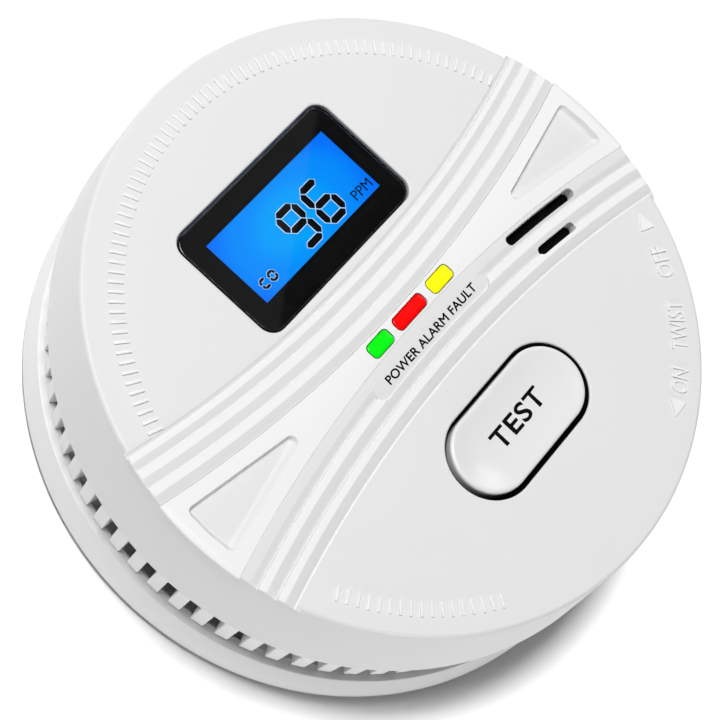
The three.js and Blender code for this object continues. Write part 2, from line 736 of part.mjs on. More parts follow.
function sounder() {
  const group = new THREE.Group();
  group.position.set(sounderX, sounderY, componentBase);
  const height = frontSpace - 3 * gap;
  const inner = sounderRadius - sounderWall;
  const housing = closedTurned([
    [inner, 0], [sounderRadius, 0], [sounderRadius, height], [sounderPort, height],
    [sounderPort, height - sounderWall], [inner, height - sounderWall],
    [inner, sounderLedge], [inner - 1.5, sounderLedge],
    [inner - 1.5, sounderLedge - 0.8], [inner, sounderLedge - 0.8],
  ], 24);
  group.add(piece('sounder_housing', housing, material(0x232326, 0.5)));
  const discBottom = sounderLedge + gap;
  const disc = turned([
    [0, discBottom], [inner - gap, discBottom], [inner - gap, discBottom + piezoThickness],
    [ceramicRadius, discBottom + piezoThickness], [ceramicRadius, discBottom + 2 * piezoThickness],
    [0, discBottom + 2 * piezoThickness],
  ], 24);
  group.add(piece('piezo_disc', disc, material(0xc9a24a, 0.35, 0.9)));
  return group;
}

// ---- batteries, contacts and door ----
// every second cell is turned round; the spring presses on its flat end
const cells = [-1, 0, 1].map((row, i) => (
  { name: `battery_${i + 1}`, y: row * cellPitch, nubSide: i % 2 ? -1 : 1 }
));
const plateInnerX = bayHalfX - gap - contactThickness;

function battery({ name, y, nubSide }) {
  const radius = cellDiameter / 2;
  const body = cellLength - cellNub;
  const solid = turned([
    [0, 0], [radius - 0.5, 0], [radius, 0.5], [radius, body - 0.6], [radius - 0.8, body],
    [cellNubRadius, body], [cellNubRadius, cellLength], [0, cellLength],
  ], 24);
  const mesh = piece(name, solid, material(0x4d6a8c, 0.35, 0.4));
  mesh.rotation.y = (nubSide * Math.PI) / 2;
  mesh.position.set(nubSide * (plateInnerX - gap - cellLength), y, cellAxisZ);
  return mesh;
}

class CoilCurve extends THREE.Curve {
  getPoint(t) {
    const angle = t * springTurns * Math.PI * 2;
    const radius = 4.3 - 1.3 * t;
    const along = springWire * 0.9 + t * (springLength - gap - 1.9 * springWire);
    return new THREE.Vector3(along, radius * Math.cos(angle), radius * Math.sin(angle));
  }
}

function coilSpring() {
  const section = new THREE.Shape();
  section.absarc(0, 0, springWire, 0, Math.PI * 2);
  const geometry = new THREE.ExtrudeGeometry(section, {
    extrudePath: new CoilCurve(), steps: springTurns * 9, curveSegments: 3, bevelEnabled: false,
  });
  return toSolid(geometry);
}

// a stamped plate over one or two cells, with a spring at each flat end and, at the ends of the
// row, a solder tab up to the board
function contact(name, side, rows, hasTab) {
  const ys = rows.map((row) => cells[row].y);
  const [y0, y1] = [Math.min(...ys) - contactSize / 2, Math.max(...ys) + contactSize / 2];
  const half = contactSize / 2;
  let body = box(0, contactThickness, y0, y1, -half, half);
  if (hasTab) {
    const solderTop = boardBottom - gap - cellAxisZ;
    const [near, far] = [ys[0] - solderTabWidth / 2, ys[0] + solderTabWidth / 2];
    body = body.add(box(0, contactThickness, near, far, 0, solderTop));
  }
  for (const row of rows) {
    if (cells[row].nubSide !== side) {
      body = body.add(coilSpring().translate([contactThickness * 0.5, cells[row].y, 0]));
    }
  }
  const mesh = piece(name, body, material(0xc4c0b4, 0.3, 0.9));
  mesh.position.set(-(plateInnerX + contactThickness), 0, cellAxisZ);
  if (side < 0) return mesh;
  const mirrored = body.mirror([1, 0, 0]);
  mesh.geometry = toGeometry(mirrored);
  mesh.position.x = plateInnerX + contactThickness;
  return mesh;
}

function batteryContacts() {
  return [
    contact('contact_negative', -1, [0], true),
    contact('contact_link_left', -1, [1, 2], false),
    contact('contact_link_right', 1, [0, 1], false),
    contact('contact_positive', 1, [2], true),
  ];
}

function batteryDoor() {
  const far = bayHalfY - gap;
  const pinHalf = bayHalfX + pintleLength;
  const neckHalf = hingeNeckThickness / 2;
  const tabHalf = fingerTabWidth / 2;
  const fingerTabTop = plateLift + fingerTabThickness;
  const barrel = rod(barrelRadius, -doorHalfX, doorHalfX, 0, 0, 20);
  const hinge = barrel.add(rod(pintleRadius, -pinHalf, pinHalf, 0, 0, 12)).rotate([0, 90, 0]);
  const ribs = doorRibs.map((x) => (
    box(x - 0.6, x + 0.6, hingeY + 4, far - 4, plateTop - 0.2, plateTop + 0.2)
  ));
  const solid = joined([
    box(-doorHalfX, doorHalfX, hingeY + hingeNeck, far, plateLift, plateTop),
    box(-doorHalfX, doorHalfX, hingeY, hingeY + hingeNeck + 0.2, hingeZ - neckHalf, hingeZ + neckHalf),
    box(-tabHalf, tabHalf, far - 0.5, far + fingerTabReach - gap, plateLift, fingerTabTop),
    hinge.translate([0, hingeY, hingeZ]), ...ribs,
  ]);
  return piece('battery_door', solid, material(0xdadada, 0.5));
}

// ---- the whole detector ----
const detector = new THREE.Group();
detector.add(
  rearHousing(), frontCover(), ...coverScrews(), ...boardScrews(), display(), ...indicatorLights(),
  testButton(), tactSwitch(), circuitBoard(), microcontroller(), canCapacitor(), drumInductor(),
  gasSensor(), sounder(), ...cells.map(battery), ...batteryContacts(), batteryDoor(),
);

const model = new THREE.Group();
model.add(mountingBracket(), detector);

export default model;
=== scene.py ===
import bpy
import bmesh
import json
import math
from functools import partial
from mathutils import Matrix, Vector


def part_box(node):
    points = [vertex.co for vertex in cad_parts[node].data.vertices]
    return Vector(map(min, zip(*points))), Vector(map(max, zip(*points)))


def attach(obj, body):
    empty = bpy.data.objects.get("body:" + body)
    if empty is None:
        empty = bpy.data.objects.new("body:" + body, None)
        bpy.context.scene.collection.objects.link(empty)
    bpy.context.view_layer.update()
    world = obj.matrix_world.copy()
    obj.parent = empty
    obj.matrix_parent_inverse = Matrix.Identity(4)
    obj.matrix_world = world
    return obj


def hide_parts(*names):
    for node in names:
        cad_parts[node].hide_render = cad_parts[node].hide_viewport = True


# Round carbon monoxide detector with its looks. Shapes are made in millimetres and scaled to metres at the
# end of each piece. Levels and places come from the CAD boxes wherever a CAD piece sets them.
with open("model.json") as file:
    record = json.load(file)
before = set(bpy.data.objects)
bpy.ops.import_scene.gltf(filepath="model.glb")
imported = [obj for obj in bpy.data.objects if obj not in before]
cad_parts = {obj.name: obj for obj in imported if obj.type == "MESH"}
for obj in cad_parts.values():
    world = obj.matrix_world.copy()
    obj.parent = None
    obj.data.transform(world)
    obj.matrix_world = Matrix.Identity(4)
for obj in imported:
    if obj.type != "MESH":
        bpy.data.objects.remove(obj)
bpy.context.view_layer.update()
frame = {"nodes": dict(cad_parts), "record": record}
bodyOf = {node: body for body, nodes in frame["record"]["behaviour"]["bodies"].items() for node in nodes}
print("frame loaded:", len(frame["nodes"]), "nodes")

mm = 0.001
scene = bpy.context.scene
scene.view_settings.view_transform = "Standard"
scene.view_settings.look = "None"


def millimetres(node):
    low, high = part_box(node)
    return low / mm, high / mm


faceTop = 37.0                      # flat of the face; the button's rim stands 0.6 above it
plateLift = millimetres("rear_housing")[0].z
caseSides = 288                     # facets of the large round pieces
weld = 1e-5                         # points closer than this are one


def objectFrom(name, bm):
    mesh = bpy.data.meshes.new(name)
    bm.normal_update()
    bm.to_mesh(mesh)
    bm.free()
    obj = bpy.data.objects.new(name, mesh)
    scene.collection.objects.link(obj)
    return obj


# doubles merged and faces turned outward
def outward(bm):
    bmesh.ops.remove_doubles(bm, verts=bm.verts, dist=weld)
    bmesh.ops.dissolve_degenerate(bm, dist=weld, edges=bm.edges)
    bmesh.ops.recalc_face_normals(bm, faces=bm.faces)
    return bm


# closed loops of equal length joined into one solid, its two ends capped
def loft(name, loops):
    bm = bmesh.new()
    rings = [[bm.verts.new(p) for p in loop] for loop in loops]
    for low, high in zip(rings, rings[1:]):
        for i in range(len(low)):
            j = (i + 1) % len(low)
            bm.faces.new((low[i], low[j], high[j], high[i]))
    bm.faces.new(rings[0])
    bm.faces.new(rings[-1])
    return objectFrom(name, outward(bm))


# a closed section of (radius, height) turned about an upright axis
def lathe(name, profile, sides=caseSides, centre=(0, 0)):
    bm = bmesh.new()
    rings = []
    for radius, height in profile:
        if radius < 1e-6:
            rings.append([bm.verts.new((centre[0], centre[1], height))])
            continue
        angles = [math.tau * i / sides for i in range(sides)]
        rings.append([bm.verts.new((centre[0] + radius * math.cos(a), centre[1] + radius * math.sin(a),
                                    height))
                      for a in angles])
    for low, high in zip(rings, rings[1:] + rings[:1]):
        for i in range(sides):
            j = (i + 1) % sides
            corners = [low[i % len(low)], low[j % len(low)], high[j % len(high)], high[i % len(high)]]
            corners = [v for k, v in enumerate(corners) if v not in corners[:k]]
            if len(corners) > 2:
                bm.faces.new(corners)
    return objectFrom(name, outward(bm))


# plain round bar or hole
def pin(name, radius, low, high, sides=28, centre=(0, 0)):
    return lathe(name, [(0, low), (radius, low), (radius, high), (0, high)], sides, centre=centre)


def block(name, x, y, z, rounding=0.0, steps=2):
    bm = bmesh.new()
    bmesh.ops.create_cube(bm, size=1)
    for v in bm.verts:
        v.co = Vector([(r[0] + r[1]) / 2 + c * (r[1] - r[0]) for c, r in zip(v.co, (x, y, z))])
    if rounding:
        bmesh.ops.bevel(bm, geom=bm.edges[:], offset=rounding, segments=steps, profile=0.5, affect="EDGES")
    return objectFrom(name, bm)


# outline of a convex polygon, anticlockwise, with its corners rounded and grown outward
def softPolygon(corners, radius, grow=0.0, steps=6):
    points = []
    for k, corner in enumerate(corners):
        before, after = Vector(corners[k - 1]), Vector(corners[(k + 1) % len(corners)])
        here = Vector(corner)
        a = (here - before).normalized()
        b = (after - here).normalized()
        n1, n2 = Vector((a.y, -a.x)), Vector((b.y, -b.x))
        centre = here - (n1 + n2) * (radius / (1 + n1.dot(n2)))
        start, sweep = math.atan2(n1.y, n1.x), abs(n1.angle_signed(n2))
        for i in range(steps + 1):
            angle = start + sweep * i / steps
            points.append((centre.x + (radius + grow) * math.cos(angle),
                           centre.y + (radius + grow) * math.sin(angle)))
    return points


def softRectangle(cx, cy, width, height, radius, grow=0.0, steps=6):
    x, y = width / 2, height / 2
    corners = [(cx + x, cy - y), (cx + x, cy + y), (cx - x, cy + y), (cx - x, cy - y)]
    return softPolygon(corners, radius, grow, steps)


# outline of a line with round ends
def ribbon(points, half, steps=8):
    path = [Vector(p) for p in points]
    ahead = [(path[min(i + 1, len(path) - 1)] - path[max(i - 1, 0)]).normalized() for i in range(len(path))]
    side = [Vector((-d.y, d.x)) for d in ahead]
    outline = [p - n * half for p, n in zip(path, side)]
    for end, n, d in ((path[-1], side[-1], ahead[-1]), (path[0], -side[0], -ahead[0])):
        outline += [end + (d * math.sin(a) - n * math.cos(a)) * half
                    for a in [math.pi * i / steps for i in range(1, steps)]]
        if end is path[-1]:
            outline += [p + m * half for p, m in zip(reversed(path), reversed(side))]
    return [(p.x, p.y) for p in outline]


def atHeight(outline, z):
    return [(x, y, z) for x, y in outline]


# an outline, given as a function of its growth, lofted through (growth, height) pairs
def stacked(name, outline, levels):
    return loft(name, [atHeight(outline(grow), z) for grow, z in levels])


# the modifiers' result becomes the object's own mesh
def settled(obj):
    graph = bpy.context.evaluated_depsgraph_get()
    graph.update()
    mesh = bpy.data.meshes.new_from_object(obj.evaluated_get(graph), depsgraph=graph)
    obj.modifiers.clear()
    obj.data = mesh
    return obj


# base with every tool cut away, added, or kept in common
def combined(base, tools, operation="DIFFERENCE"):
    for tool in tools:
        step = base.modifiers.new(tool.name, "BOOLEAN")
        step.operation, step.object, step.solver = operation, tool, "MANIFOLD"
    settled(base)
    for tool in tools:
        bpy.data.objects.remove(tool)
    return base


def placed(obj, matrix):
    obj.data.transform(matrix)
    return obj


def moved(obj, x=0.0, y=0.0, z=0.0):
    return placed(obj, Matrix.Translation((x, y, z)))


# several separate meshes in one object
def merged(name, objects):
    bm = bmesh.new()
    for obj in objects:
        bm.from_mesh(obj.data)
        bpy.data.objects.remove(obj)
    return objectFrom(name, bm)


# to metres, smooth by angle, with its finish, on the body of the CAD pieces that it stands for
def finished(obj, name, finish, nodes=(), body="detector", angle=32, weighted=True):
    obj.name = obj.data.name = name
    obj.data.transform(Matrix.Scale(mm, 4))
    several = isinstance(finish, list)
    indices = [face.material_index if several else 0 for face in obj.data.polygons]
    obj.data.materials.clear()
    for one in finish if several else [finish]:
        obj.data.materials.append(bpy.data.materials[one])
    obj.data.polygons.foreach_set("material_index", indices)
    obj.data.shade_smooth()
    obj.data.set_sharp_from_angle(angle=math.radians(angle))
    if weighted:
        normals = obj.modifiers.new("normals", "WEIGHTED_NORMAL")
        normals.keep_sharp = True
        normals.weight = 90
        settled(obj)
    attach(obj, bodyOf[nodes[0]] if nodes else body)
    if nodes:
        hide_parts(*nodes)
    return obj


# faces that meet the rule take the second of two finishes
def painted(obj, rule):
    for face in obj.data.polygons:
        face.material_index = 1 if rule(face.center, face.normal) else 0


# a new node with its inputs set; an underscore stands for a space in an input's name
def addNode(tree, kind, **inputs):
    node = tree.nodes.new(kind)
    for key, value in inputs.items():
        node.inputs[key.replace("_", " ")].default_value = value
    return node


def addNodes(tree, *kinds):
    return [tree.nodes.new(kind) for kind in kinds]


# rows of a node, its output, the next node and its input
def wire(tree, *rows):
    for source, given, target, taken in rows:
        tree.links.new(source.outputs[given], target.inputs[taken])


def newTree(name, inputs):
    tree = bpy.data.node_groups.new(name, "GeometryNodeTree")
    for label, kind in (("Geometry", "Geometry"), *inputs):
        tree.interface.new_socket(label, in_out="INPUT", socket_type="NodeSocket" + kind)
    tree.interface.new_socket("Geometry", in_out="OUTPUT", socket_type="NodeSocketGeometry")
    return tree, *addNodes(tree, "NodeGroupInput", "NodeGroupOutput")


# ends the tree with its result made real and painted
def closeTree(tree, start, end, last):
    real, paint = addNodes(tree, "GeometryNodeRealizeInstances", "GeometryNodeSetMaterial")
    wire(tree, (last, 0, real, 0), (real, 0, paint, "Geometry"), (start, "Finish", paint, "Material"),
         (paint, 0, end, 0))
    return tree


# runs the tree on obj with its named inputs and keeps the result as a plain mesh
def grown(obj, tree, finish="blackPlastic", **values):
    step = obj.modifiers.new(tree.name, "NODES")
    values["Finish"] = bpy.data.materials[finish]
    step.node_group = tree
    for item in tree.interface.items_tree:
        if item.item_type == "SOCKET" and item.in_out == "INPUT" and item.name in values:
            step[item.identifier] = values[item.name]
    return settled(obj)


# copies of the incoming piece turned about the upright axis, First and Pitch in degrees
def roundCopiesTree():
    tree, start, end = newTree("roundCopies", [("Count", "Int"), ("First", "Float"), ("Pitch", "Float"),
                                               ("Finish", "Material")])
    line = addNode(tree, "GeometryNodeMeshLine", Offset=(0, 0, 0))
    index, turn, radians, spin, copies = addNodes(
        tree, "GeometryNodeInputIndex", "ShaderNodeMath", "ShaderNodeMath", "ShaderNodeCombineXYZ",
        "GeometryNodeInstanceOnPoints")
    turn.operation, radians.operation = "MULTIPLY_ADD", "RADIANS"
    wire(tree, (start, "Count", line, "Count"), (index, 0, turn, 0), (start, "Pitch", turn, 1),
         (start, "First", turn, 2), (turn, 0, radians, 0), (radians, 0, spin, "Z"),
         (line, "Mesh", copies, "Points"), (start, "Geometry", copies, "Instance"),
         (spin, 0, copies, "Rotation"))
    return closeTree(tree, start, end, copies)


# a closed section swept along an arc: its -x runs in from the arc and its -y is up
def arcSweepTree():
    tree, start, end = newTree("arcSweep", [("Radius", "Float"), ("Start", "Float"), ("Sweep", "Float"),
                                            ("Steps", "Int"), ("Finish", "Material")])
    section, arc, upright, sweep = addNodes(tree, "GeometryNodeMeshToCurve", "GeometryNodeCurveArc",
                                            "GeometryNodeSetCurveNormal", "GeometryNodeCurveToMesh")
    upright.mode = "Z_UP"
    sweep.inputs["Fill Caps"].default_value = True
    wire(tree, (start, "Geometry", section, "Mesh"), (start, "Steps", arc, "Resolution"),
         (start, "Radius", arc, "Radius"), (start, "Start", arc, "Start Angle"),
         (start, "Sweep", arc, "Sweep Angle"), (arc, "Curve", upright, "Curve"),
         (upright, "Curve", sweep, "Curve"), (section, "Curve", sweep, "Profile Curve"))
    return closeTree(tree, start, end, sweep)


roundCopies = roundCopiesTree()
arcSweep = arcSweepTree()
print("node trees ready")


# moulded or metal surface: broad colour drift, fine grain in roughness and relief
def finishOf(name, colour, drift, grain, rough, relief, cloud=35, metal=0.0, coat=0.0, ior=1.46, shine=0.5,
             glow=(0, 0, 0), stretch=(1, 1, 1)):
    mat = bpy.data.materials.new(name)
    mat.use_nodes = True
    tree = mat.node_tree
    tree.nodes.clear()
    shader = addNode(tree, "ShaderNodeBsdfPrincipled", Metallic=metal, IOR=ior, Specular_IOR_Level=shine,
                     Coat_Weight=coat)
    if any(glow):
        shader.inputs["Emission Color"].default_value = [*glow, 1]
        shader.inputs["Emission Strength"].default_value = 1.0
    place = addNode(tree, "ShaderNodeMapping", Scale=stretch)
    broad, fine = (addNode(tree, "ShaderNodeTexNoise", Scale=scale, Detail=3) for scale in (cloud, grain))
    spread = addNode(tree, "ShaderNodeMapRange", From_Min=0.3, From_Max=0.7, To_Min=rough[0],
                     To_Max=rough[1])
    bump = addNode(tree, "ShaderNodeBump", Strength=relief, Distance=0.00002)
    out, coord, ramp = addNodes(tree, "ShaderNodeOutputMaterial", "ShaderNodeTexCoord", "ShaderNodeValToRGB")
    for stop, position, share in zip(ramp.color_ramp.elements, (0.3, 0.7), (1 - drift, 1 + drift)):
        stop.position, stop.color = position, [min(1, c * share) for c in colour] + [1]
    wire(tree, (coord, "Object", place, "Vector"), (place, 0, broad, "Vector"), (place, 0, fine, "Vector"),
         (broad, "Fac", ramp, "Fac"), (ramp, "Color", shader, "Base Color"), (fine, "Fac", spread, "Value"),
         (spread, 0, shader, "Roughness"), (fine, "Fac", bump, "Height"), (bump, 0, shader, "Normal"),
         (shader, 0, out, "Surface"))


def nodeIn(name, kind):
    return next(node for node in bpy.data.materials[name].node_tree.nodes if node.type == kind)


# light that changes outward from a centre: stops run from the end of the reach to the middle
def glowOutward(name, reach, stops, centre=(0, 0, 0), change="LINEAR"):
    tree, shader = bpy.data.materials[name].node_tree, nodeIn(name, "BSDF_PRINCIPLED")
    place = addNode(tree, "ShaderNodeMapping", Location=centre, Scale=reach)
    near, ramp = addNodes(tree, "ShaderNodeTexGradient", "ShaderNodeValToRGB")
    place.vector_type, near.gradient_type = "TEXTURE", "SPHERICAL"
    ramp.color_ramp.interpolation = change
    elements = ramp.color_ramp.elements
    for k, (position, colour) in enumerate(stops):
        stop = elements[k] if k < 2 else elements.new(position)
        stop.position, stop.color = position, [*colour, 1]
    wire(tree, (nodeIn(name, "TEX_COORD"), "Object", place, "Vector"), (place, 0, near, "Vector"),
         (near, "Fac", ramp, "Fac"), (ramp, "Color", shader, "Emission Color"))
    shader.inputs["Emission Strength"].default_value = 1.0


# colour or grey, its drift, grain, roughness and relief, then what else it needs
finishes = {
    "facePlastic": (0.74, 0.008, 3200, (0.42, 0.52), 0.10),
    # brighter copy of the face plastic: painted highlight on the raised tops, the band and the marks
    "ribPlastic": (0.83, 0.006, 3600, (0.34, 0.42), 0.05),
    # the housing and bracket are set lighter than the face plastic to brighten their shaded vents and sides:
    # painted light
    "housingPlastic": (0.84, 0.012, 2800, (0.42, 0.55), 0.12),
    "bracketPlastic": (0.78, 0.012, 2600, (0.38, 0.5), 0.12),
    "buttonPlastic": (0.765, 0.006, 3600, (0.16, 0.24), 0.04),
    "blackPrint": ((0.0015, 0.0015, 0.0017), 0.05, 5200, (0.6, 0.75), 0.05, {"shine": 0.08}),
    "segmentInk": ((0.001, 0.001, 0.002), 0.05, 5200, (0.6, 0.7), 0.02, {"shine": 0.08}),
    "borderInk": ((0.0008, 0.0008, 0.001), 0.05, 4200, (0.4, 0.5), 0.02, {"shine": 0.05}),
    "haloInk": ((0.45, 0.62, 0.80), 0.02, 2000, (0.5, 0.6), 0.02, {"glow": (0.175, 0.31, 0.475)}),
    # the lens finishes glow to make their colours vivid: painted glow
    "greenLens": ((0.0, 0.50, 0.004), 0.02, 3000, (0.2, 0.3), 0.02,
                  {"shine": 0.2, "glow": (0.0, 0.432, 0.00192)}),
    "redLens": ((0.62, 0.0, 0.0), 0.02, 3000, (0.2, 0.3), 0.02, {"shine": 0.15, "glow": (0.4, 0.0, 0.0)}),
    "yellowLens": ((0.78, 0.74, 0.0), 0.02, 3000, (0.2, 0.3), 0.02,
                   {"shine": 0.2, "glow": (0.25, 0.24, 0.0)}),
    # darker copies of the lens colours for the lens sides: painted shade
    "greenLensEdge": ((0.0, 0.16, 0.01), 0.1, 2000, (0.4, 0.5), 0.02),
    "redLensEdge": ((0.16, 0.0, 0.0), 0.1, 2000, (0.4, 0.5), 0.02),
    "yellowLensEdge": ((0.42, 0.38, 0.01), 0.1, 2000, (0.4, 0.5), 0.02),
    "boardMask": ((0.02, 0.14, 0.05), 0.18, 4200, (0.25, 0.4), 0.08, {"cloud": 180}),
    "blackPlastic": ((0.012, 0.012, 0.013), 0.08, 2600, (0.45, 0.6), 0.15),
    # black that stands for the shade in the sound slots and round the button: painted shade
    "blackSeal": ((0.002, 0.002, 0.002), 0.08, 2200, (0.8, 0.95), 0.2, {"shine": 0.1}),
    "innerPlastic": ((0.72, 0.72, 0.70), 0.015, 2400, (0.4, 0.55), 0.12),
    "milkyGuide": ((0.8, 0.86, 0.95), 0.01, 2400, (0.3, 0.4), 0.05),
    "softStrip": ((0.60, 0.20, 0.24), 0.05, 2200, (0.7, 0.85), 0.2),
    "canAluminium": ((0.62, 0.64, 0.66), 0.03, 1500, (0.28, 0.42), 0.08,
                     {"metal": 1.0, "stretch": (1, 1, 8)}),
    "canSteel": ((0.58, 0.59, 0.60), 0.04, 1300, (0.2, 0.34), 0.08, {"metal": 1.0, "stretch": (1, 1, 10)}),
    "darkFerrite": ((0.04, 0.036, 0.034), 0.15, 1900, (0.55, 0.75), 0.35),
    "discBrass": ((0.72, 0.52, 0.20), 0.05, 1500, (0.25, 0.4), 0.08, {"metal": 1.0}),
    "springNickel": ((0.66, 0.64, 0.58), 0.04, 1700, (0.16, 0.28), 0.05, {"metal": 1.0}),
    "screwZinc": ((0.55, 0.55, 0.54), 0.08, 1500, (0.28, 0.45), 0.1, {"metal": 1.0}),
    "cellSleeve": ((0.05, 0.11, 0.24), 0.04, 1200, (0.2, 0.3), 0.05, {"metal": 0.3, "coat": 0.4}),
    "cellSteel": ((0.62, 0.61, 0.58), 0.04, 1500, (0.2, 0.32), 0.05, {"metal": 1.0}),
    "clearWindow": ((1, 1, 1), 0.0, 900, (0.0, 0.02), 0.01, {"ior": 1.49}),
    "litDisplay": ((0.0, 0.015, 0.05), 0.02, 1600, (0.4, 0.5), 0.004, {"shine": 0.0}),
    "floorFinish": (0.93, 0.0, 300, (0.8, 0.9), 0.01, {"cloud": 8}),
}
for finishName, row in finishes.items():
    colour = row[0] if isinstance(row[0], tuple) else [row[0]] * 3
    finishOf(finishName, colour, *row[1:5], **(row[5] if len(row) > 5 else {}))
nodeIn("clearWindow", "BSDF_PRINCIPLED").inputs["Transmission Weight"].default_value = 1.0
print("finishes ready:", len(finishes))

ribs = {
    "middle": -0.35, "halfWidth": 1.75, "arc": 228.0, "reach": 57.0, "steps": 72,
    "upperEdge": 9.3, "lowerEdge": 9.55, "trench": 0.7,
    # the legend's pad: half its length, its middle line, half the gap and half the pad across it
    "padLength": 13.4, "padLine": 3.22, "gapHalf": 1.46, "padHalf": 1.48, "padEnds": 2.2,
    # sections, distance out from the band and height over the face
    "upper": [(9.45, -1.2), (9.45, -0.015), (9.30, -0.015), (8.66, -0.24), (8.52, -0.26), (8.46, 0.31),
              (7.66, 0.37), (7.52, 0.33), (6.20, 0.04), (6.14, 0.31), (4.78, 0.37), (4.64, 0.33),
              (3.18, 0.04), (3.12, 0.31), (1.74, 0.37), (1.60, 0.33), (0.12, 0.02), (0.06, -0.2),
              (-1.0, -0.2), (-1.0, -1.2)],
    "lower": [(-1.0, -1.2), (-1.0, 0.36), (0.0, 0.36), (1.64, 0.26), (1.84, 0.20), (3.14, -0.19),
              (3.20, 0.29), (4.44, 0.35), (4.60, 0.30), (6.40, -0.24), (6.46, 0.29), (7.62, 0.35),
              (7.78, 0.30), (9.25, -0.24), (9.6, -0.12), (10.6, -0.5), (10.6, -1.2)],
    "legend": [(-1.0, -1.2), (-1.0, 0.36), (0.0, 0.36), (1.64, 0.26), (6.40, -0.24), (7.0, -0.4),
               (7.0, -1.2)],
    # painted highlight on the raised tops: distances from the band on the upper and the lower side,
    # least level and how far up they face
    "topLevel": 0.12, "topSlope": 0.7,
    "tops": {1: [(-99, 0.04), (1.68, 3.2), (4.72, 6.2), (7.58, 8.52)],
             -1: [(-99, 0.04), (3.14, 4.52), (6.4, 7.7)]},
}


# distance out from the band's edge on the side where the point lies
def ribDistance(x, y):
    side = 1 if y > ribs["middle"] else -1
    middle = ribs["middle"] + side * (ribs["halfWidth"] + ribs["arc"])
    return side, ribs["arc"] - math.hypot(x, y - middle)


# height on the face of the line that runs at a distance out from the band
def ribY(side, distance, x):
    radius = ribs["arc"] - distance
    return ribs["middle"] + side * (ribs["halfWidth"] + ribs["arc"] - math.sqrt(radius * radius - x * x))


def ribLine(side, distance, x0, x1, steps):
    along = [x0 + (x1 - x0) * i / steps for i in range(steps + 1)]
    return [(x, ribY(side, distance, x)) for x in along]


# the section swept along the rib arcs of one side of the band
def sweptRibs(name, side, section, x0, x1):
    bm = bmesh.new()
    radius = ribs["arc"]
    ring = [bm.verts.new((-d, -z, 0)) for d, z in section]
    for a, b in zip(ring, ring[1:] + ring[:1]):
        bm.edges.new((a, b))
    host = objectFrom(name, bm)
    a0, a1 = math.asin(x0 / radius), math.asin(x1 / radius)
    start = -math.pi / 2 + a0 if side > 0 else math.pi / 2 - a1
    swept = grown(host, arcSweep, Radius=radius, Start=start, Sweep=a1 - a0, Steps=ribs["steps"])
    bm = bmesh.new()
    bm.from_mesh(swept.data)
    shift = ribs["middle"] + side * (ribs["halfWidth"] + radius)
    bmesh.ops.translate(bm, vec=(0, shift, faceTop), verts=bm.verts)
    outward(bm)
    bm.to_mesh(swept.data)
    bm.free()
    return swept


# solid between a line of the lower side and a line of the upper side, with a slightly crowned top
def ribField(name, lowSide, highSide, bottom, crown, rise, edge=0.06):
    loops = []
    steps, across = ribs["steps"], 10
    for k in range(steps + 1):
        x = -ribs["reach"] + 2 * ribs["reach"] * k / steps
        y0, y1 = ribY(-1, lowSide, x), ribY(1, highSide, x)
        top = [(y0, rise - edge)]
        for i in range(across + 1):
            t = i / across
            inset = edge * 1.2 * (1 - 2 * t)
            top.append((y0 + (y1 - y0) * t + inset, rise + crown * (1 - (2 * t - 1) ** 2)))
        top.append((y1, rise - edge))
        loops.append([(x, y, faceTop + z) for y, z in [(y0, bottom), *top, (y1, bottom)]])
    return loft(name, loops)


cover = {
    "faceRadius": 52.5, "skirtRadius": 53.8, "skirtBottom": 19.5, "wall": 1.7, "plate": 2.2, "rimRound": 0.7,
    "bandRise": 0.48, "bandCrown": 0.1,
    "triangle": {"tip": 25.4, "base": 50.2, "half": 4.7, "depth": 0.8, "corner": 0.95},
    "window": {"size": (37.6, 21.8), "corner": 2.8}, "well": {"size": (31.0, 15.4)},
    "slots": [{"offset": 1.5, "width": 1.7, "from": 22.4, "to": 38.8},
              {"offset": 6.1, "width": 1.6, "from": 25.4, "to": 34.2}],
    "felt": {"beside": 1.9, "before": 1.6, "after": 1.2, "levels": (-0.35, -0.02)},
    # radius, lowest and highest level of the bosses and of their pilot holes
    "posts": {"boss": (3.2, 20.3, 35.2), "sides": 40, "pilot": (1.8, 19, 30), "pilotSides": 28},
    "boardPosts": {"boss": (2.8, 25.9, 35.2), "sides": 36, "pilot": (1.4, 25, 31.6), "pilotSides": 24},
}
lensWidth = {"green": 5.05, "red": 7.4, "yellow": 5.35}
lensShape = {"height": {"green": 2.62, "red": 2.4, "yellow": 2.62}, "corner": 0.8, "shift": (-0.16, -0.2),
             "proud": 0.1, "clearance": 0.12}


def middleOf(node):
    return sum(millimetres(node), Vector()) / 2


windowLow, windowHigh = millimetres("lcd_window")
windowMid, buttonMid = middleOf("lcd_window"), middleOf("test_button")
postCentres = [tuple(middleOf("cover_screw_%d" % i).xy) for i in (1, 2, 3, 4)]
boardPosts = [tuple(middleOf("board_screw_%d" % i).xy) for i in (1, 2, 3)]


# cutter for a hole whose upper edge is rounded over by the lip
def through(name, outline, bottom, top, lip=0.3):
    turns = [math.radians(angle) for angle in (25, 50, 75, 90)]
    rounding = [(lip * (1 - math.cos(a)), top - lip + lip * math.sin(a)) for a in turns]
    return stacked(name, outline, [(0, bottom), (0, top - lip), *rounding, (lip * 1.6, top + 2.0)])


def coverShell():
    c, z = cover, faceTop
    round_ = c["rimRound"]
    rim = [(c["faceRadius"] - round_ + round_ * math.cos(a), z - round_ + round_ * math.sin(a))
           for a in [math.radians(d) for d in (8, 30, 55, 75, 90)]]
    flare = c["skirtRadius"]
    profile = [(0, z - c["plate"]), (c["faceRadius"] - c["wall"] - 0.8, z - c["plate"]),
               (c["faceRadius"] - c["wall"], z - c["plate"] - 0.8),
               (flare - c["wall"], c["skirtBottom"] + 0.2), (flare - c["wall"] + 0.2, c["skirtBottom"]),
               (flare - 0.45, c["skirtBottom"]), (flare - 0.12, c["skirtBottom"] + 0.12),
               (flare, c["skirtBottom"] + 0.45), *rim, (0, z)]
    return lathe("coverShell", profile)


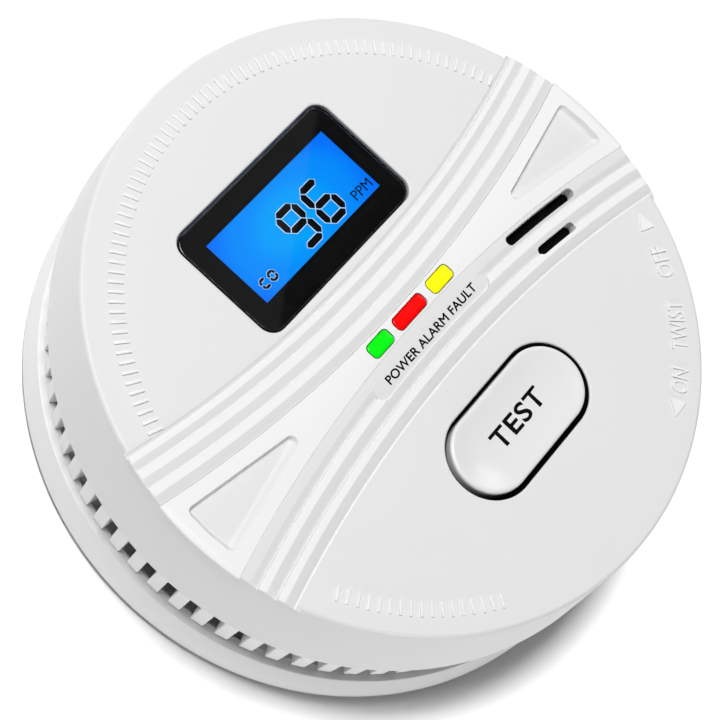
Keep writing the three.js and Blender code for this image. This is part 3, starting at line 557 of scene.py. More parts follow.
# round solid that the raised ribs are trimmed to, a little proud of the rim
def rimKeeper(name, extra):
    z, r = faceTop, cover["faceRadius"] + extra
    return lathe(name, [(0, z - 1.1), (cover["faceRadius"] - 0.1, z - 1.1),
                        (cover["faceRadius"] + 0.02, z - 0.8), (r, z - 0.25), (r, z + 0.0),
                        (r - 0.12, z + 0.24), (r - 0.4, z + 0.42), (r - 0.9, z + 0.55), (r - 2.0, z + 0.62),
                        (0, z + 1.0)])


def coverBody():
    shell = coverShell()
    trench = ribField("trench", ribs["lowerEdge"], ribs["upperEdge"], -ribs["trench"], 0.0, 2.0, 0.0)
    shell = combined(shell, [trench])
    upper = sweptRibs("upperRibs", 1, ribs["upper"], -ribs["reach"], ribs["reach"])
    lower = sweptRibs("lowerRibs", -1, ribs["lower"], -ribs["reach"], ribs["reach"])
    # the second groove and the first rib stop short of the legend, with round ends
    half, ends = ribs["padLength"], ribs["padLength"] + ribs["padEnds"]
    line = ribLine(-1, ribs["padLine"], -half, half, 30)
    gap = loft("legendGap", [atHeight(ribbon(line, ribs["gapHalf"], 10), faceTop + h) for h in (-0.9, 1.0)])
    lower = combined(lower, [gap])
    pad = sweptRibs("legendPad", -1, ribs["legend"], -ends, ends)
    gapKeep = loft("gapKeep", [atHeight(ribbon(line, ribs["padHalf"], 10), faceTop + h) for h in (-1.1, 1.0)])
    pad = combined(pad, [gapKeep], "INTERSECT")
    lower = combined(lower, [pad], "UNION")
    zone = combined(upper, [lower], "UNION")
    zone = combined(zone, [rimKeeper("ribKeeper", 0.35)], "INTERSECT")
    band = ribField("band", 0.0, 0.0, -1.15, cover["bandCrown"], cover["bandRise"])
    band = combined(band, [rimKeeper("bandKeeper", 0.7)], "INTERSECT")
    body = combined(shell, [zone, band], "UNION")
    body.name = "coverBody"
    return body


def triangleCutter(side):
    t = cover["triangle"]
    y = ribs["middle"]
    places = ((t["tip"], 0), (t["base"], -t["half"]), (t["base"] + 0.3, 0), (t["base"], t["half"]))
    corners = [(side * x, y + side * dy) for x, dy in places]
    top = faceTop + cover["bandRise"] + 0.06
    floor = top - t["depth"]
    loops = []
    for grow, lift, height in ((-0.80, 0.50, floor), (-0.62, 0.38, floor + 0.03),
                               (-0.44, 0.26, floor + 0.12), (-0.10, 0.04, top - 0.24),
                               (-0.02, 0.0, top - 0.12), (0.06, 0.0, top - 0.03), (0.3, 0.0, top + 0.8)):
        outline = softPolygon(corners, t["corner"], grow, 6)
        loops.append([(x, yy + lift, height) for x, yy in outline])
    return loft("triangle", loops)


def lensOutline(colour, grow):
    (x, y), (dx, dy) = middleOf("led_lens_" + colour).xy, lensShape["shift"]
    return softRectangle(x + dx, y + dy, lensWidth[colour], lensShape["height"][colour], lensShape["corner"],
                         grow, 8)


def openings():
    bottom = faceTop - cover["plate"] - 1
    window, well = cover["window"], cover["well"]["size"]
    windowOutline = partial(softRectangle, *windowMid.xy, *window["size"], window["corner"], steps=8)
    wellOutline = partial(softRectangle, *buttonMid.xy, *well, well[1] / 2, steps=20)
    cutters = [through("windowHole", windowOutline, bottom, faceTop, 0.35),
               through("buttonWell", wellOutline, bottom, faceTop, 0.3)]
    for colour in lensWidth:
        cutters.append(through("lensHole", lambda g: lensOutline(colour, lensShape["clearance"] + g), bottom,
                               faceTop + cover["bandRise"] + 0.1, 0.1))
    for slot in cover["slots"]:
        half = slot["width"] / 2
        line = ribLine(-1, slot["offset"], slot["from"] + half, slot["to"] - half, 14)
        cutters.append(through("soundSlot", lambda g: ribbon(line, half + g, 12), bottom, faceTop + 0.3,
                               0.22))
    return cutters


def frontCover():
    bosses, pilots = [], []
    for row, centres in ((cover["posts"], postCentres), (cover["boardPosts"], boardPosts)):
        for at in centres:
            bosses.append(pin("boss", *row["boss"], row["sides"], at))
            pilots.append(pin("pilot", *row["pilot"], row["pilotSides"], at))
    body = combined(coverBody(), bosses, "UNION")
    body = combined(body, [triangleCutter(-1), triangleCutter(1), *openings(), *pilots])
    # upward faces of the raised tops and the band are painted brighter than the plates and the slopes:
    # painted highlight; they are also a little smoother
    def takesPaintedHighlight(centre, normal):
        side, away = ribDistance(*centre.xy)
        raised = centre.z > faceTop + ribs["topLevel"] and normal.z > ribs["topSlope"]
        return raised and any(low < away < high for low, high in ribs["tops"][side])
    painted(body, takesPaintedHighlight)
    return finished(body, "front_cover_shell", ["facePlastic", "ribPlastic"], ["front_cover"], angle=28)


# black sheet under the slots: painted shade that keeps the slots dark
def slotShadeSheet():
    (near, far), felt = cover["slots"], cover["felt"]
    first, last = near["from"] - felt["before"], near["to"] + felt["after"]
    sides = (far["offset"] + felt["beside"], near["offset"] - felt["beside"])
    low, high = (ribLine(-1, offset, first, last, 12) for offset in sides)
    level = faceTop - cover["plate"]
    sheet = loft("felt", [atHeight(low + high[::-1], level + lift) for lift in felt["levels"]])
    finished(sheet, "sound_felt", "blackSeal")


coverPiece = frontCover()
slotShadeSheet()
print("cover:", len(coverPiece.data.polygons), "faces")

# rear housing: drum, collar, back plate, battery bay and screw posts; the vent teeth are turned copies of one
housing = {
    "drum": 47.6, "inner": 46.4, "ventBottom": 7.3, "ventFoot": 51.7, "ventHead": 52.2, "ringBottom": 18.0,
    "ringTop": 19.2, "collar": 51.5, "collarTop": 22.0, "plate": 2.0, "teeth": 72, "notchHalf": 1.04,
    "airHoles": 24, "airHoleHeight": (9.65, 15.65), "bayWall": 1.5, "bayCeiling": 20.5, "postRadius": 4.6,
    "postTop": 20.0, "postWeb": 2.7, "headWell": 3.25, "shankHole": 1.8, "tabSpan": 16, "tabOuter": 50.0,
    "tabHeight": 1.4,
}
tabAngles = (90, 210, 330)          # bayonet tabs of the housing and hooks of the bracket
doorLow, doorHigh = millimetres("battery_door")
barrelRadius = 1.2
hingeY, hingeZ = doorLow.y + barrelRadius, plateLift + 1.4
bayHalfX, bayHalfY = 28.1, -(doorLow.y - 0.3)


def sector(name, r0, r1, a0, a1, z0, z1, steps=10):
    ends = [math.radians(a0 + (a1 - a0) * i / steps) for i in range(steps + 1)]
    outline = [(r1 * math.cos(a), r1 * math.sin(a)) for a in ends]
    outline += [(r0 * math.cos(a), r0 * math.sin(a)) for a in reversed(ends)]
    return loft(name, [atHeight(outline, z0), atHeight(outline, z1)])


def rearHousing():
    h = housing
    low = plateLift
    body = lathe("rearHousing", [
        (0, low), (h["drum"] - 0.5, low), (h["drum"], low + 0.5), (h["drum"], h["ringBottom"]),
        (h["ventHead"] - 0.2, h["ringBottom"]), (h["ventHead"], h["ringBottom"] + 0.2),
        (h["ventHead"], h["ringTop"] - 0.2), (h["ventHead"] - 0.2, h["ringTop"]),
        (h["collar"], h["ringTop"]), (h["collar"], h["collarTop"] - 0.3),
        (h["collar"] - 0.3, h["collarTop"]), (h["inner"], h["collarTop"]),
        (h["inner"], low + h["plate"] + 0.6), (h["inner"] - 0.6, low + h["plate"]), (0, low + h["plate"]),
    ])
    tabs = [sector("tab", h["drum"] - 0.6, h["tabOuter"], a - h["tabSpan"] / 2, a + h["tabSpan"] / 2,
                   low, low + h["tabHeight"]) for a in tabAngles]
    outX, outY = bayHalfX + h["bayWall"], bayHalfY + h["bayWall"]
    bay = stacked("bay", partial(softRectangle, 0, 0, 2 * outX, 2 * outY, 1.0),
                  [(0, low + 0.1), (0, h["bayCeiling"] + h["bayWall"])])
    posts = [lathe("post", [(0, low + 1), (h["postRadius"], low + 1), (h["postRadius"], h["postTop"] - 0.3),
                            (h["postRadius"] - 0.3, h["postTop"]), (0, h["postTop"])], 40, centre=at)
             for at in postCentres]
    body = combined(body, [*tabs, bay, *posts], "UNION")
    cuts = [stacked("bayHollow", partial(softRectangle, 0, 0, 2 * bayHalfX, 2 * bayHalfY, 0.5),
                    [(0.3, low - 1), (0.3, low - 0.01), (0.22, low + 0.08), (0.06, low + 0.26),
                     (0, low + 0.4), (0, h["bayCeiling"])]),
            block("fingerNotch", (-5.3, 5.3), (bayHalfY - 0.5, bayHalfY + 2.6), (low - 1, low + 1.5))]
    for side in (-1, 1):
        x = side * (bayHalfX - 0.45)
        y = side * 15.2
        cuts.append(block("contactSlot", (x - 0.45, x + 0.45), (y - 1.8, y + 1.8),
                          (h["bayCeiling"] - 1, 23)))
        place = Matrix.Translation((side * bayHalfX, hingeY, hingeZ)) @ Matrix.Rotation(math.pi / 2, 4, "Y")
        cuts.append(placed(pin("bearing", 1.0, -1.6, 1.6, 24), place))
    for at in postCentres:
        cuts.append(lathe("headWell", [(0, low - 1), (h["headWell"] + 0.2, low - 1),
                                       (h["headWell"] + 0.2, low), (h["headWell"], low + 0.25),
                                       (h["headWell"], h["postTop"] - h["postWeb"]),
                                       (0, h["postTop"] - h["postWeb"])], 40, centre=at))
        cuts.append(pin("shankHole", h["shankHole"], 16, 21, 28, at))
    hole = block("airHole", (h["inner"] - 1, h["drum"] + 1), (-h["notchHalf"], h["notchHalf"]),
                 h["airHoleHeight"])
    pitch = 360 / h["teeth"]
    cuts.append(grown(hole, roundCopies, Count=h["airHoles"], First=pitch / 2, Pitch=360 / h["airHoles"]))
    body = combined(body, cuts)
    return finished(body, "housing_shell", "housingPlastic", ["rear_housing"])


def ventTeeth():
    h = housing
    lean = math.radians(180 / h["teeth"])

    def halfAt(r):
        return r * math.tan(lean) - h["notchHalf"] / math.cos(lean)
    loops = []
    for z, r1 in ((h["ventBottom"], h["ventFoot"]), (h["ringBottom"] + 0.6, h["ventHead"] - 0.02)):
        r0 = h["drum"] - 0.3
        loops.append([(r0, -halfAt(r0), z), (r1, -halfAt(r1), z), (r1, halfAt(r1), z), (r0, halfAt(r0), z)])
    tooth = loft("tooth", loops)
    bm = bmesh.new()
    bm.from_mesh(tooth.data)
    seen = [e for e in bm.edges if max(v.co.x for v in e.verts) > h["drum"] + 1
            and min(v.co.z for v in e.verts) < h["ringBottom"]]
    bmesh.ops.bevel(bm, geom=seen, offset=0.22, segments=3, profile=0.5, affect="EDGES")
    bm.to_mesh(tooth.data)
    bm.free()
    teeth = grown(tooth, roundCopies, Count=h["teeth"], First=0.0, Pitch=360 / h["teeth"],
                  finish="housingPlastic")
    return finished(teeth, "vent_teeth", "housingPlastic")


housingPiece, teethPiece = rearHousing(), ventTeeth()
print("housing:", len(housingPiece.data.polygons), "faces, teeth:", len(teethPiece.data.polygons))

# bracket: ring with a rolled outer side, three hooks with their stops and four curved screw slots
bracket = {
    "opening": 39.98, "rim": 50.4, "plate": 2.2, "height": 7.0, "hookInner": 48.0, "hookSpan": 16,
    "hookHeight": (5.0, 6.4), "stopSpan": 2, "stopGap": 0.4, "slotRadius": 43.99, "slotWidth": 3.8,
    "slotSpan": 34,
}


def mountingBracket():
    b = bracket
    body = lathe("bracket", [
        (b["opening"] + 0.3, 0), (53.1, 0), (53.45, 0.12), (53.8, 0.42), (54.0, 0.8), (54.1, 1.3),
        (54.1, 2.0), (54.02, 2.9), (53.88, 3.8), (53.6, 4.7), (53.3, 5.5), (53.05, 6.1), (52.9, 6.6),
        (52.75, 6.88), (52.5, 7.0), (b["rim"] + 0.3, b["height"]), (b["rim"], b["height"] - 0.3),
        (b["rim"], b["plate"] + 0.5), (b["rim"] - 0.5, b["plate"]), (b["opening"] + 0.3, b["plate"]),
        (b["opening"], b["plate"] - 0.3), (b["opening"], 0.3),
    ])
    low, high = b["hookHeight"]
    hooks = []
    for a in tabAngles:
        end = a - b["hookSpan"] / 2 - b["stopGap"]
        hooks.append(sector("hook", b["hookInner"], b["rim"] + 0.5, end, a + b["hookSpan"] / 2, low, high))
        hooks.append(sector("stop", b["hookInner"], b["rim"] + 0.5, end - b["stopSpan"], end + 0.05,
                            b["plate"] - 0.5, high - 0.01, 4))
    body = combined(body, hooks, "UNION")
    half = math.radians(b["slotSpan"] / 2)
    line = [(b["slotRadius"] * math.cos(a), b["slotRadius"] * math.sin(a))
            for a in [half * (i / 8 - 1) for i in range(17)]]
    slot = stacked("slot", lambda g: ribbon(line, b["slotWidth"] / 2 + g, 10),
                   [(0.25, -1), (0.25, 0), (0, 0.25), (0, 1.95), (0.25, 2.2), (0.25, 3.2)])
    body = combined(body, [grown(slot, roundCopies, Count=4, First=0.0, Pitch=90.0)])
    return finished(body, "bracket_ring", "bracketPlastic", ["mounting_bracket"])


bracketPiece = mountingBracket()
print("bracket:", len(bracketPiece.data.polygons), "faces")

# test button: long rounded cap with a shallow dish, a lip under the face and a stem
button = {
    "length": 29.3, "width": 13.8, "shift": (0.0, 0.15), "stem": 2.6,
    "lip": (33.0, 17.4), "lipLevels": [(0, 33.2), (0, 34.5)],
    # inset from the outline and level, from the bottom edge over the rim into the dish
    "skin": [(0.0, 33.6), (0.0, 37.0), (0.05, 37.24), (0.16, 37.42), (0.34, 37.52), (0.56, 37.55),
             (0.8, 37.52), (1.1, 37.46), (1.7, 37.32), (2.5, 37.16), (3.4, 37.02), (4.4, 36.92),
             (5.4, 36.86), (6.3, 36.84)],
    "paintedShadeBelow": 35.6,
}


def testButton():
    b = button
    x, y = buttonMid.x + b["shift"][0], buttonMid.y + b["shift"][1]
    outline = partial(softRectangle, x, y, b["length"], b["width"], b["width"] / 2 - 0.001, steps=28)
    cap = stacked("cap", outline, [(-inset, z) for inset, z in b["skin"]])
    lip = stacked("lip", partial(softRectangle, *buttonMid.xy, *b["lip"], b["lip"][1] / 2 - 0.001, steps=28),
                  b["lipLevels"])
    stem = lathe("stem", [(0, 31.5), (b["stem"] - 0.3, 31.5), (b["stem"], 31.8), (b["stem"], 34), (0, 34)],
                 48, centre=buttonMid.xy)
    body = combined(cap, [lip, stem], "UNION")
    # the lip in the well is painted black: painted shade in the gap round the cap
    painted(body, lambda centre, normal: centre.z < b["paintedShadeBelow"] and normal.z > 0.5)
    finished(body, "button_cap", ["buttonPlastic", "blackSeal"], ["test_button"], angle=40)


sleeve = {"outside": 0.05, "inside": -0.16, "levels": (34.75, 36.65), "cut": (34.0, 38.0)}


# black sleeve that lines the well, open for the button: painted shade in the gap round the cap
def wellShadeSleeve():
    size = cover["well"]["size"]
    outline = partial(softRectangle, *buttonMid.xy, *size, size[1] / 2, steps=20)
    ring = combined(stacked("sleeve", outline, [(sleeve["outside"], z) for z in sleeve["levels"]]),
                    [stacked("sleeveHole", outline, [(sleeve["inside"], z) for z in sleeve["cut"]])])
    finished(ring, "well_sleeve", "blackSeal")


testButton()
wellShadeSleeve()


# letters as a flat mesh, centred, with its capital height and optional width in millimetres
def lettering(name, words, height, thickness, width=None, weight=0.0, spacing=1.0):
    curve = bpy.data.curves.new(name, "FONT")
    curve.body, curve.size = words, 10
    curve.space_character, curve.extrude = spacing, 1
    curve.resolution_u = 5
    text = bpy.data.objects.new(name, curve)
    scene.collection.objects.link(text)
    graph = bpy.context.evaluated_depsgraph_get()
    mesh = bpy.data.meshes.new_from_object(text.evaluated_get(graph))
    bpy.data.objects.remove(text)
    bm = bmesh.new()
    bm.from_mesh(mesh)
    bmesh.ops.remove_doubles(bm, verts=bm.verts, dist=weld)
    bm.normal_update()
    shifts = {}
    for v in bm.verts:
        sides = [f.normal.xy.normalized() for f in v.link_faces if abs(f.normal.z) < 0.5]
        if len(sides) > 1:
            other = min(sides, key=lambda n: n.dot(sides[0]))
            shifts[v] = (sides[0] + other) * (weight / max(1 + sides[0].dot(other), 0.45))
    for v, shift in shifts.items():
        v.co.x, v.co.y = v.co.x + shift.x, v.co.y + shift.y
    spans = [(min(v.co[k] for v in bm.verts), max(v.co[k] for v in bm.verts)) for k in (0, 1, 2)]
    tall = height / (spans[1][1] - spans[1][0])
    wide = width / (spans[0][1] - spans[0][0]) if width else tall
    for v in bm.verts:
        v.co = Vector(((v.co.x - sum(spans[0]) / 2) * wide, (v.co.y - sum(spans[1]) / 2) * tall,
                       (v.co.z - spans[2][0]) / (spans[2][1] - spans[2][0]) * thickness))
    return objectFrom(name, bm)


# height of the button's skin at a point
def skinLevel(x, y):
    half = button["width"] / 2
    along = max(0.0, abs(x - buttonMid.x - button["shift"][0]) - (button["length"] / 2 - half))
    inset = half - math.hypot(along, y - buttonMid.y - button["shift"][1])
    skin = button["skin"]
    for (i0, z0), (i1, z1) in zip(skin, skin[1:]):
        if inset < i1:
            return z0 + (z1 - z0) * max(0.0, inset - i0) / max(i1 - i0, 1e-6)
    return skin[-1][1]


# height of the sloping shelf under the lights
def legendLevel(x, y):
    d = ribDistance(x, y)[1]
    slope = ribs["legend"][2:5]
    for (d0, z0), (d1, z1) in zip(slope, slope[1:]):
        if d < d1:
            return faceTop + z0 + (z1 - z0) * max(d - d0, 0) / (d1 - d0)
    return faceTop + slope[-1][1]


prints = [
    {"name": "button_word", "body": "button", "level": skinLevel, "at": (-0.25, -24.4), "cuts": 2,
     "letters": {"words": "TEST", "height": 3.3, "width": 12.7, "weight": 0.2, "spacing": 1.08,
                 "thickness": 0.03}},
    {"name": "legend_print", "body": "detector", "level": legendLevel, "at": (0.35, -5.2), "cuts": 0,
     "letters": {"words": "POWER ALARM FAULT", "height": 1.55, "width": 23.7, "weight": 0.2, "spacing": 1.03,
                 "thickness": 0.03}},
]


# letters laid on the surface under them
def printOn(p):
    word = lettering(p["name"], **p["letters"])
    bm = bmesh.new()
    bm.from_mesh(word.data)
    if p["cuts"]:
        bmesh.ops.subdivide_edges(bm, edges=[e for e in bm.edges if e.calc_length() > 0.8], cuts=p["cuts"])
        bmesh.ops.triangulate(bm, faces=bm.faces)
    for v in bm.verts:
        x, y = v.co.x + p["at"][0], v.co.y + p["at"][1]
        v.co = Vector((x, y, p["level"](x, y) + v.co.z))
    bm.to_mesh(word.data)
    bm.free()
    finished(word, p["name"], "blackPrint", body=p["body"], weighted=False)


for one in prints:
    printOn(one)

# raised marks near the rim: turning words with their arrows, and plain ticks
marks = {
    "proud": 0.26, "radius": 48.3, "wordHeight": 2.9,
    "words": [("OFF", -32.6, 5.6), ("TWIST", -46.2, 8.6), ("ON", -57.8, 4.3)],
    "arrows": [(-23.6, 1), (-63.9, -1)], "arrowSize": 1.55,
    "ticks": {"count": 72, "first": 19.5, "pitch": 1.985, "radius": (45.6, 48.1), "width": 0.42},
    "bars": {"count": 17, "first": -154.6, "pitch": 2.0, "radius": (46.9, 49.3), "width": 0.42},
}


def onArc(obj, degrees, radius):
    for v in obj.data.vertices:
        a, r = math.radians(degrees) + v.co.x / radius, radius - v.co.y
        v.co = Vector((r * math.cos(a), r * math.sin(a), faceTop + v.co.z - 0.02))
    return obj


def turningMarks():
    m = marks
    pieces = [onArc(lettering("word", words, m["wordHeight"], m["proud"] + 0.02, width), at, m["radius"])
              for words, at, width in m["words"]]
    for degrees, way in m["arrows"]:
        a = math.radians(degrees)
        ahead, out = Vector((-math.sin(a), math.cos(a))) * way, Vector((math.cos(a), math.sin(a)))
        middle = out * m["radius"]
        size = m["arrowSize"]
        corners = [middle + ahead * size, middle - ahead * size - out * size * 0.9,
                   middle - ahead * size + out * size * 0.9]
        if (corners[1] - corners[0]).cross(corners[2] - corners[0]) < 0:
            corners.reverse()
        pieces.append(stacked("arrow", partial(softPolygon, [tuple(c) for c in corners], 0.12, steps=4),
                              [(0.02, faceTop - 0.02), (0.0, faceTop + m["proud"] - 0.05),
                               (-0.06, faceTop + m["proud"])]))
    # the marks are painted brighter than the face: painted highlight
    finished(merged("turningMarks", pieces), "turning_marks", "ribPlastic",
             weighted=False)


def tickRow(name, t):
    bar = block("tick", t["radius"], (-t["width"] / 2, t["width"] / 2),
                (faceTop - 0.1, faceTop + marks["proud"]), 0.06, 2)
    # the ticks are painted brighter than the face: painted highlight
    row = grown(bar, roundCopies, Count=t["count"], First=t["first"], Pitch=t["pitch"], finish="ribPlastic")
    finished(row, name, "ribPlastic", weighted=False)


turningMarks()
tickRow("rim_ticks", marks["ticks"])
tickRow("side_ticks", marks["bars"])
print("lettering and marks ready")

# display: window, printed border, lit glass and its figures
display = {
    "lit": (29.95, 12.95), "litShift": (0.55, 0.25), "litReach": (0.0175, 0.0115, 0.02),
    "litStops": [(0.0, (0.0, 0.165, 1.0)), (0.75, (0.0, 0.37, 1.0)), (0.35, (0.0, 0.27, 1.0))],
    "thickness": 0.05, "units": {"words": "PPM", "height": 1.75, "width": 4.3}, "unitsAt": (12.15, 18.65),
    # figures by their lit segments, with their first place, pitch, size, stroke, slit and pale margin
    "figures": [
        {"lit": ["abcdfg", "acdefg"], "at": (-3.3, 17.72), "pitch": 6.3, "size": (5.15, 8.0, 1.2, 0.13),
         "halo": 0.16},
        {"lit": ["adef", "abcdef"], "at": (-13.3, 18.3), "pitch": 1.95, "size": (1.65, 1.95, 0.48, 0.0),
         "halo": 0.1},
    ],
}
segmentEnds = {"a": ((0, 2), (1, 2)), "b": ((1, 2), (1, 1)), "c": ((1, 1), (1, 0)), "d": ((0, 0), (1, 0)),
               "e": ((0, 1), (0, 0)), "f": ((0, 2), (0, 1)), "g": ((0, 1), (1, 1))}


# one seven-segment figure as outlines; stroke is the width of a segment
def figureOutlines(lit, x, y, width, height, stroke, slit, grow=0.0):
    outlines = []
    for key in lit:
        (u0, v0), (u1, v1) = segmentEnds[key]
        half = stroke / 2
        place = lambda u, v: Vector((x + half + u * (width - stroke), y + half + v * (height - stroke) / 2))
        a, b = place(u0, v0), place(u1, v1)
        along = (b - a).normalized()
        side = Vector((-along.y, along.x))
        a, b = a + along * (slit - grow), b - along * (slit - grow)
        h = half + grow
        tips = [a, a + (along + side) * h, b + (side - along) * h, b, b - (along + side) * h,
                a + (along - side) * h]
        outlines.append([(p.x, p.y) for p in tips])
    return outlines


def plates(name, outlines, bottom, top):
    return merged(name, [loft("plate", [atHeight(o, bottom), atHeight(o, top)]) for o in outlines])


def displayParts():
    d = display
    litLow, litHigh = millimetres("lcd_glass")
    top = litHigh.z
    inked, halo = [], []
    for row in d["figures"]:
        for k, lit in enumerate(row["lit"]):
            place = (row["at"][0] + k * row["pitch"], row["at"][1])
            inked += figureOutlines(lit, *place, *row["size"])
            halo += figureOutlines(lit, *place, *row["size"], row["halo"])
    units = moved(lettering("units", thickness=d["thickness"], **d["units"]), *d["unitsAt"], top + 0.004)
    digits = plates("digits", inked, top + 0.004, top + d["thickness"])
    finished(merged("figures", [digits, units]), "display_figures", "segmentInk",
             weighted=False)
    finished(plates("halo", halo, top + 0.001, top + 0.02), "display_halo", "haloInk",
             weighted=False)
    glass = block("glass", *zip(litLow, litHigh), 0.12, 2)
    middle = ((litLow.x + litHigh.x) / 2 * mm, (litLow.y + litHigh.y) / 2 * mm, top * mm)
    glowOutward("litDisplay", d["litReach"], d["litStops"], middle, "EASE")
    finished(glass, "display_glass", "litDisplay", ["lcd_glass"])


def displayWindow():
    d = display
    low, high = windowLow, windowHigh
    pane = stacked("pane", partial(softRectangle, *windowMid.xy, *(high - low).xy, 2.5, steps=10),
                   [(-0.1, low.z), (0, low.z + 0.1), (0, high.z - 0.22), (-0.07, high.z - 0.07),
                    (-0.25, high.z)])
    # the cut edge is printed black too
    painted(pane, lambda centre, normal: abs(normal.z) < 0.3 and centre.z < high.z - 0.2)
    finished(pane, "window_pane", ["clearWindow", "borderInk"], ["lcd_window"])
    low, high = millimetres("window_mask")
    border = stacked("border", partial(softRectangle, *windowMid.xy, *(high - low).xy, 2.4, steps=8),
                     [(0, low.z), (0, high.z)])
    x, y = windowMid.x + d["litShift"][0], windowMid.y + d["litShift"][1]
    w, h = d["lit"][0] / 2, d["lit"][1] / 2
    hole = block("hole", (x - w, x + w), (y - h, y + h), (low.z - 1, high.z + 1))
    finished(combined(border, [hole]), "window_border", "borderInk", ["window_mask"])


displayParts()
displayWindow()
print("display ready")

# indicator lenses with softly domed tops; their sides are painted darker: painted shade
def lens(colour):
    node = "led_lens_" + colour
    top = faceTop + cover["bandRise"] + lensShape["proud"]
    body = stacked("lens", partial(lensOutline, colour),
                   [(0.0, 30.8), (0.0, top - 0.24), (-0.05, top - 0.1), (-0.16, top - 0.02),
                    (-0.34, top + 0.02), (-0.7, top + 0.03)])
    foot = stacked("foot", partial(softRectangle, *middleOf(node).xy, lensWidth[colour], 4.2, 0.8),
                   [(0, millimetres(node)[0].z), (0, 34.5)])
    body = combined(body, [foot], "UNION")
    # the sides take the darker copy of the lens colour: painted shade
    painted(body, lambda centre, normal: normal.z <= 0.5)
    finished(body, "lens_" + colour, [colour + "Lens", colour + "LensEdge"], [node], angle=40)


for colour in lensWidth:
    lens(colour)


# head radius and height and shank radius
screws = {"cover_screw_": (2.8, 2.0, 1.5), "board_screw_": (2.2, 1.3, 1.1)}


# one head and shank with its cross recess, standing under its CAD screw's top
def screw(kind):
    headRadius, headHeight, shankRadius = screws[kind]
    low, high = millimetres(kind + "1")
    length = high.z - low.z - headHeight
    body = lathe("screw", [(0, -headHeight), (headRadius * 0.62, -headHeight),
                           (headRadius * 0.88, -headHeight * 0.86), (headRadius, -headHeight * 0.5),
                           (headRadius, 0), (shankRadius, 0), (shankRadius, length - shankRadius),
                           (shankRadius * 0.35, length), (0, length)], 36)
    arm, slit = headRadius * 0.6, headRadius * 0.15
    cross = [block("arm", x, y, (-headHeight - 1, -headHeight * 0.4)) for x, y in
             (((-arm, arm), (-slit, slit)), ((-slit, slit), (-arm, arm)))]
    return moved(combined(body, cross), z=low.z + headHeight)


def coverScrews():
    one = moved(screw("cover_screw_"), math.hypot(*postCentres[0]))
    four = grown(one, roundCopies, Count=4, First=45.0, Pitch=90.0, finish="screwZinc")
    finished(four, "cover_screws", "screwZinc", ["cover_screw_%d" % i for i in (1, 2, 3, 4)])


def boardScrews():
    copies = [moved(screw("board_screw_"), x, y) for x, y in boardPosts]
    finished(merged("boardScrews", copies), "board_screws", "screwZinc",
             ["board_screw_%d" % i for i in (1, 2, 3)])


coverScrews()
boardScrews()


# a CAD piece with its hard edges eased
def eased(node, name, finish, width, angle=38):
    bm = bmesh.new()
    bm.from_mesh(frame["nodes"][node].data)
    bmesh.ops.remove_doubles(bm, verts=bm.verts, dist=1e-7)
    bmesh.ops.scale(bm, vec=(1 / mm,) * 3, verts=bm.verts)
    bmesh.ops.dissolve_limit(bm, angle_limit=math.radians(1), verts=bm.verts, edges=bm.edges)
    sharp = [e for e in bm.edges if e.is_manifold and e.calc_face_angle(0) > math.radians(angle)]
    bmesh.ops.bevel(bm, geom=sharp, offset=width, segments=2, profile=0.6, affect="EDGES",
                    clamp_overlap=True)
    finished(objectFrom(name, bm), name, finish, [node], angle=angle)


easedPieces = [
    ("battery_door", "door_plate", "housingPlastic", 0.14),
    ("lcd_frame", "display_frame", "innerPlastic", 0.12),
    ("lcd_backlight", "display_light_guide", "milkyGuide", 0.1),
    ("lcd_connector", "display_strip", "softStrip", 0.12),
    ("circuit_board", "board_plate", "boardMask", 0.06),
    ("tact_switch_body", "switch_body", "blackPlastic", 0.12),
    ("tact_switch_plunger", "switch_plunger", "innerPlastic", 0.12),
    ("microcontroller", "control_chip", "blackPlastic", 0.06),
    ("capacitor", "can_capacitor", "canAluminium", 0.06),
    ("inductor", "drum_inductor", "darkFerrite", 0.1),
    ("co_sensor_can", "sensor_can", "canSteel", 0.1),
    ("co_sensor_cap", "sensor_cap", "innerPlastic", 0.15),
    ("sounder_housing", "sounder_case", "blackPlastic", 0.15),
    ("piezo_disc", "sounder_disc", "discBrass", 0.04),
]
for row in easedPieces:
    eased(*row)
keptNodes = {"springNickel": ["contact_negative", "contact_link_left", "contact_link_right",
                              "contact_positive"],
             "greenLens": ["led_green"], "redLens": ["led_red"], "yellowLens": ["led_yellow"]}
for finishName, nodes in keptNodes.items():
    for node in nodes:
        materials = frame["nodes"][node].data.materials
        materials.clear()
        materials.append(bpy.data.materials[finishName])


# cells: sleeved can with a rolled edge, bare steel ends and a contact nub
def cell(index):
    low, high = millimetres("battery_%d" % index)
    radius, length = (high.z - low.z) / 2, high.x - low.x
    way = -1 if index == 2 else 1
    profile = [(0, 0.15), (3.2, 0.15), (3.5, 0.0), (5.9, 0.0), (6.15, 0.18), (6.55, 0.18),
               (radius - 0.12, 0.32), (radius, 0.65), (radius, length - 2.2), (radius - 0.12, length - 1.75),
               (radius - 0.75, length - 1.5), (radius - 1.15, length - 1.5), (radius - 1.5, length - 1.3),
               (3.1, length - 1.25), (2.85, length - 1.1), (2.75, length - 0.3), (2.5, length - 0.05),
               (0, length)]
    body = lathe("cell", profile, 64)
    painted(body, lambda centre, normal: centre.xy.length <= 6.2 or centre.z >= length - 1.4)
    start = Vector((low.x if way > 0 else high.x, (low.y + high.y) / 2, (low.z + high.z) / 2))
    placed(body, Matrix.Translation(start) @ Matrix.Rotation(way * math.pi / 2, 4, "Y"))
    finished(body, "cell_%d" % index, ["cellSleeve", "cellSteel"], ["battery_%d" % index])


for index in (1, 2, 3):
    cell(index)
print("inner parts ready")

# angles in degrees; the offset is in face radii and the lens in sensor widths
camera = {"centre": (0, 0, faceTop), "unit": cover["faceRadius"], "roll": -44.3, "tilt": -28.21,
          "spin": 91.8, "offset": (0.138, 0.144, -6.484), "focal": 2.9875}


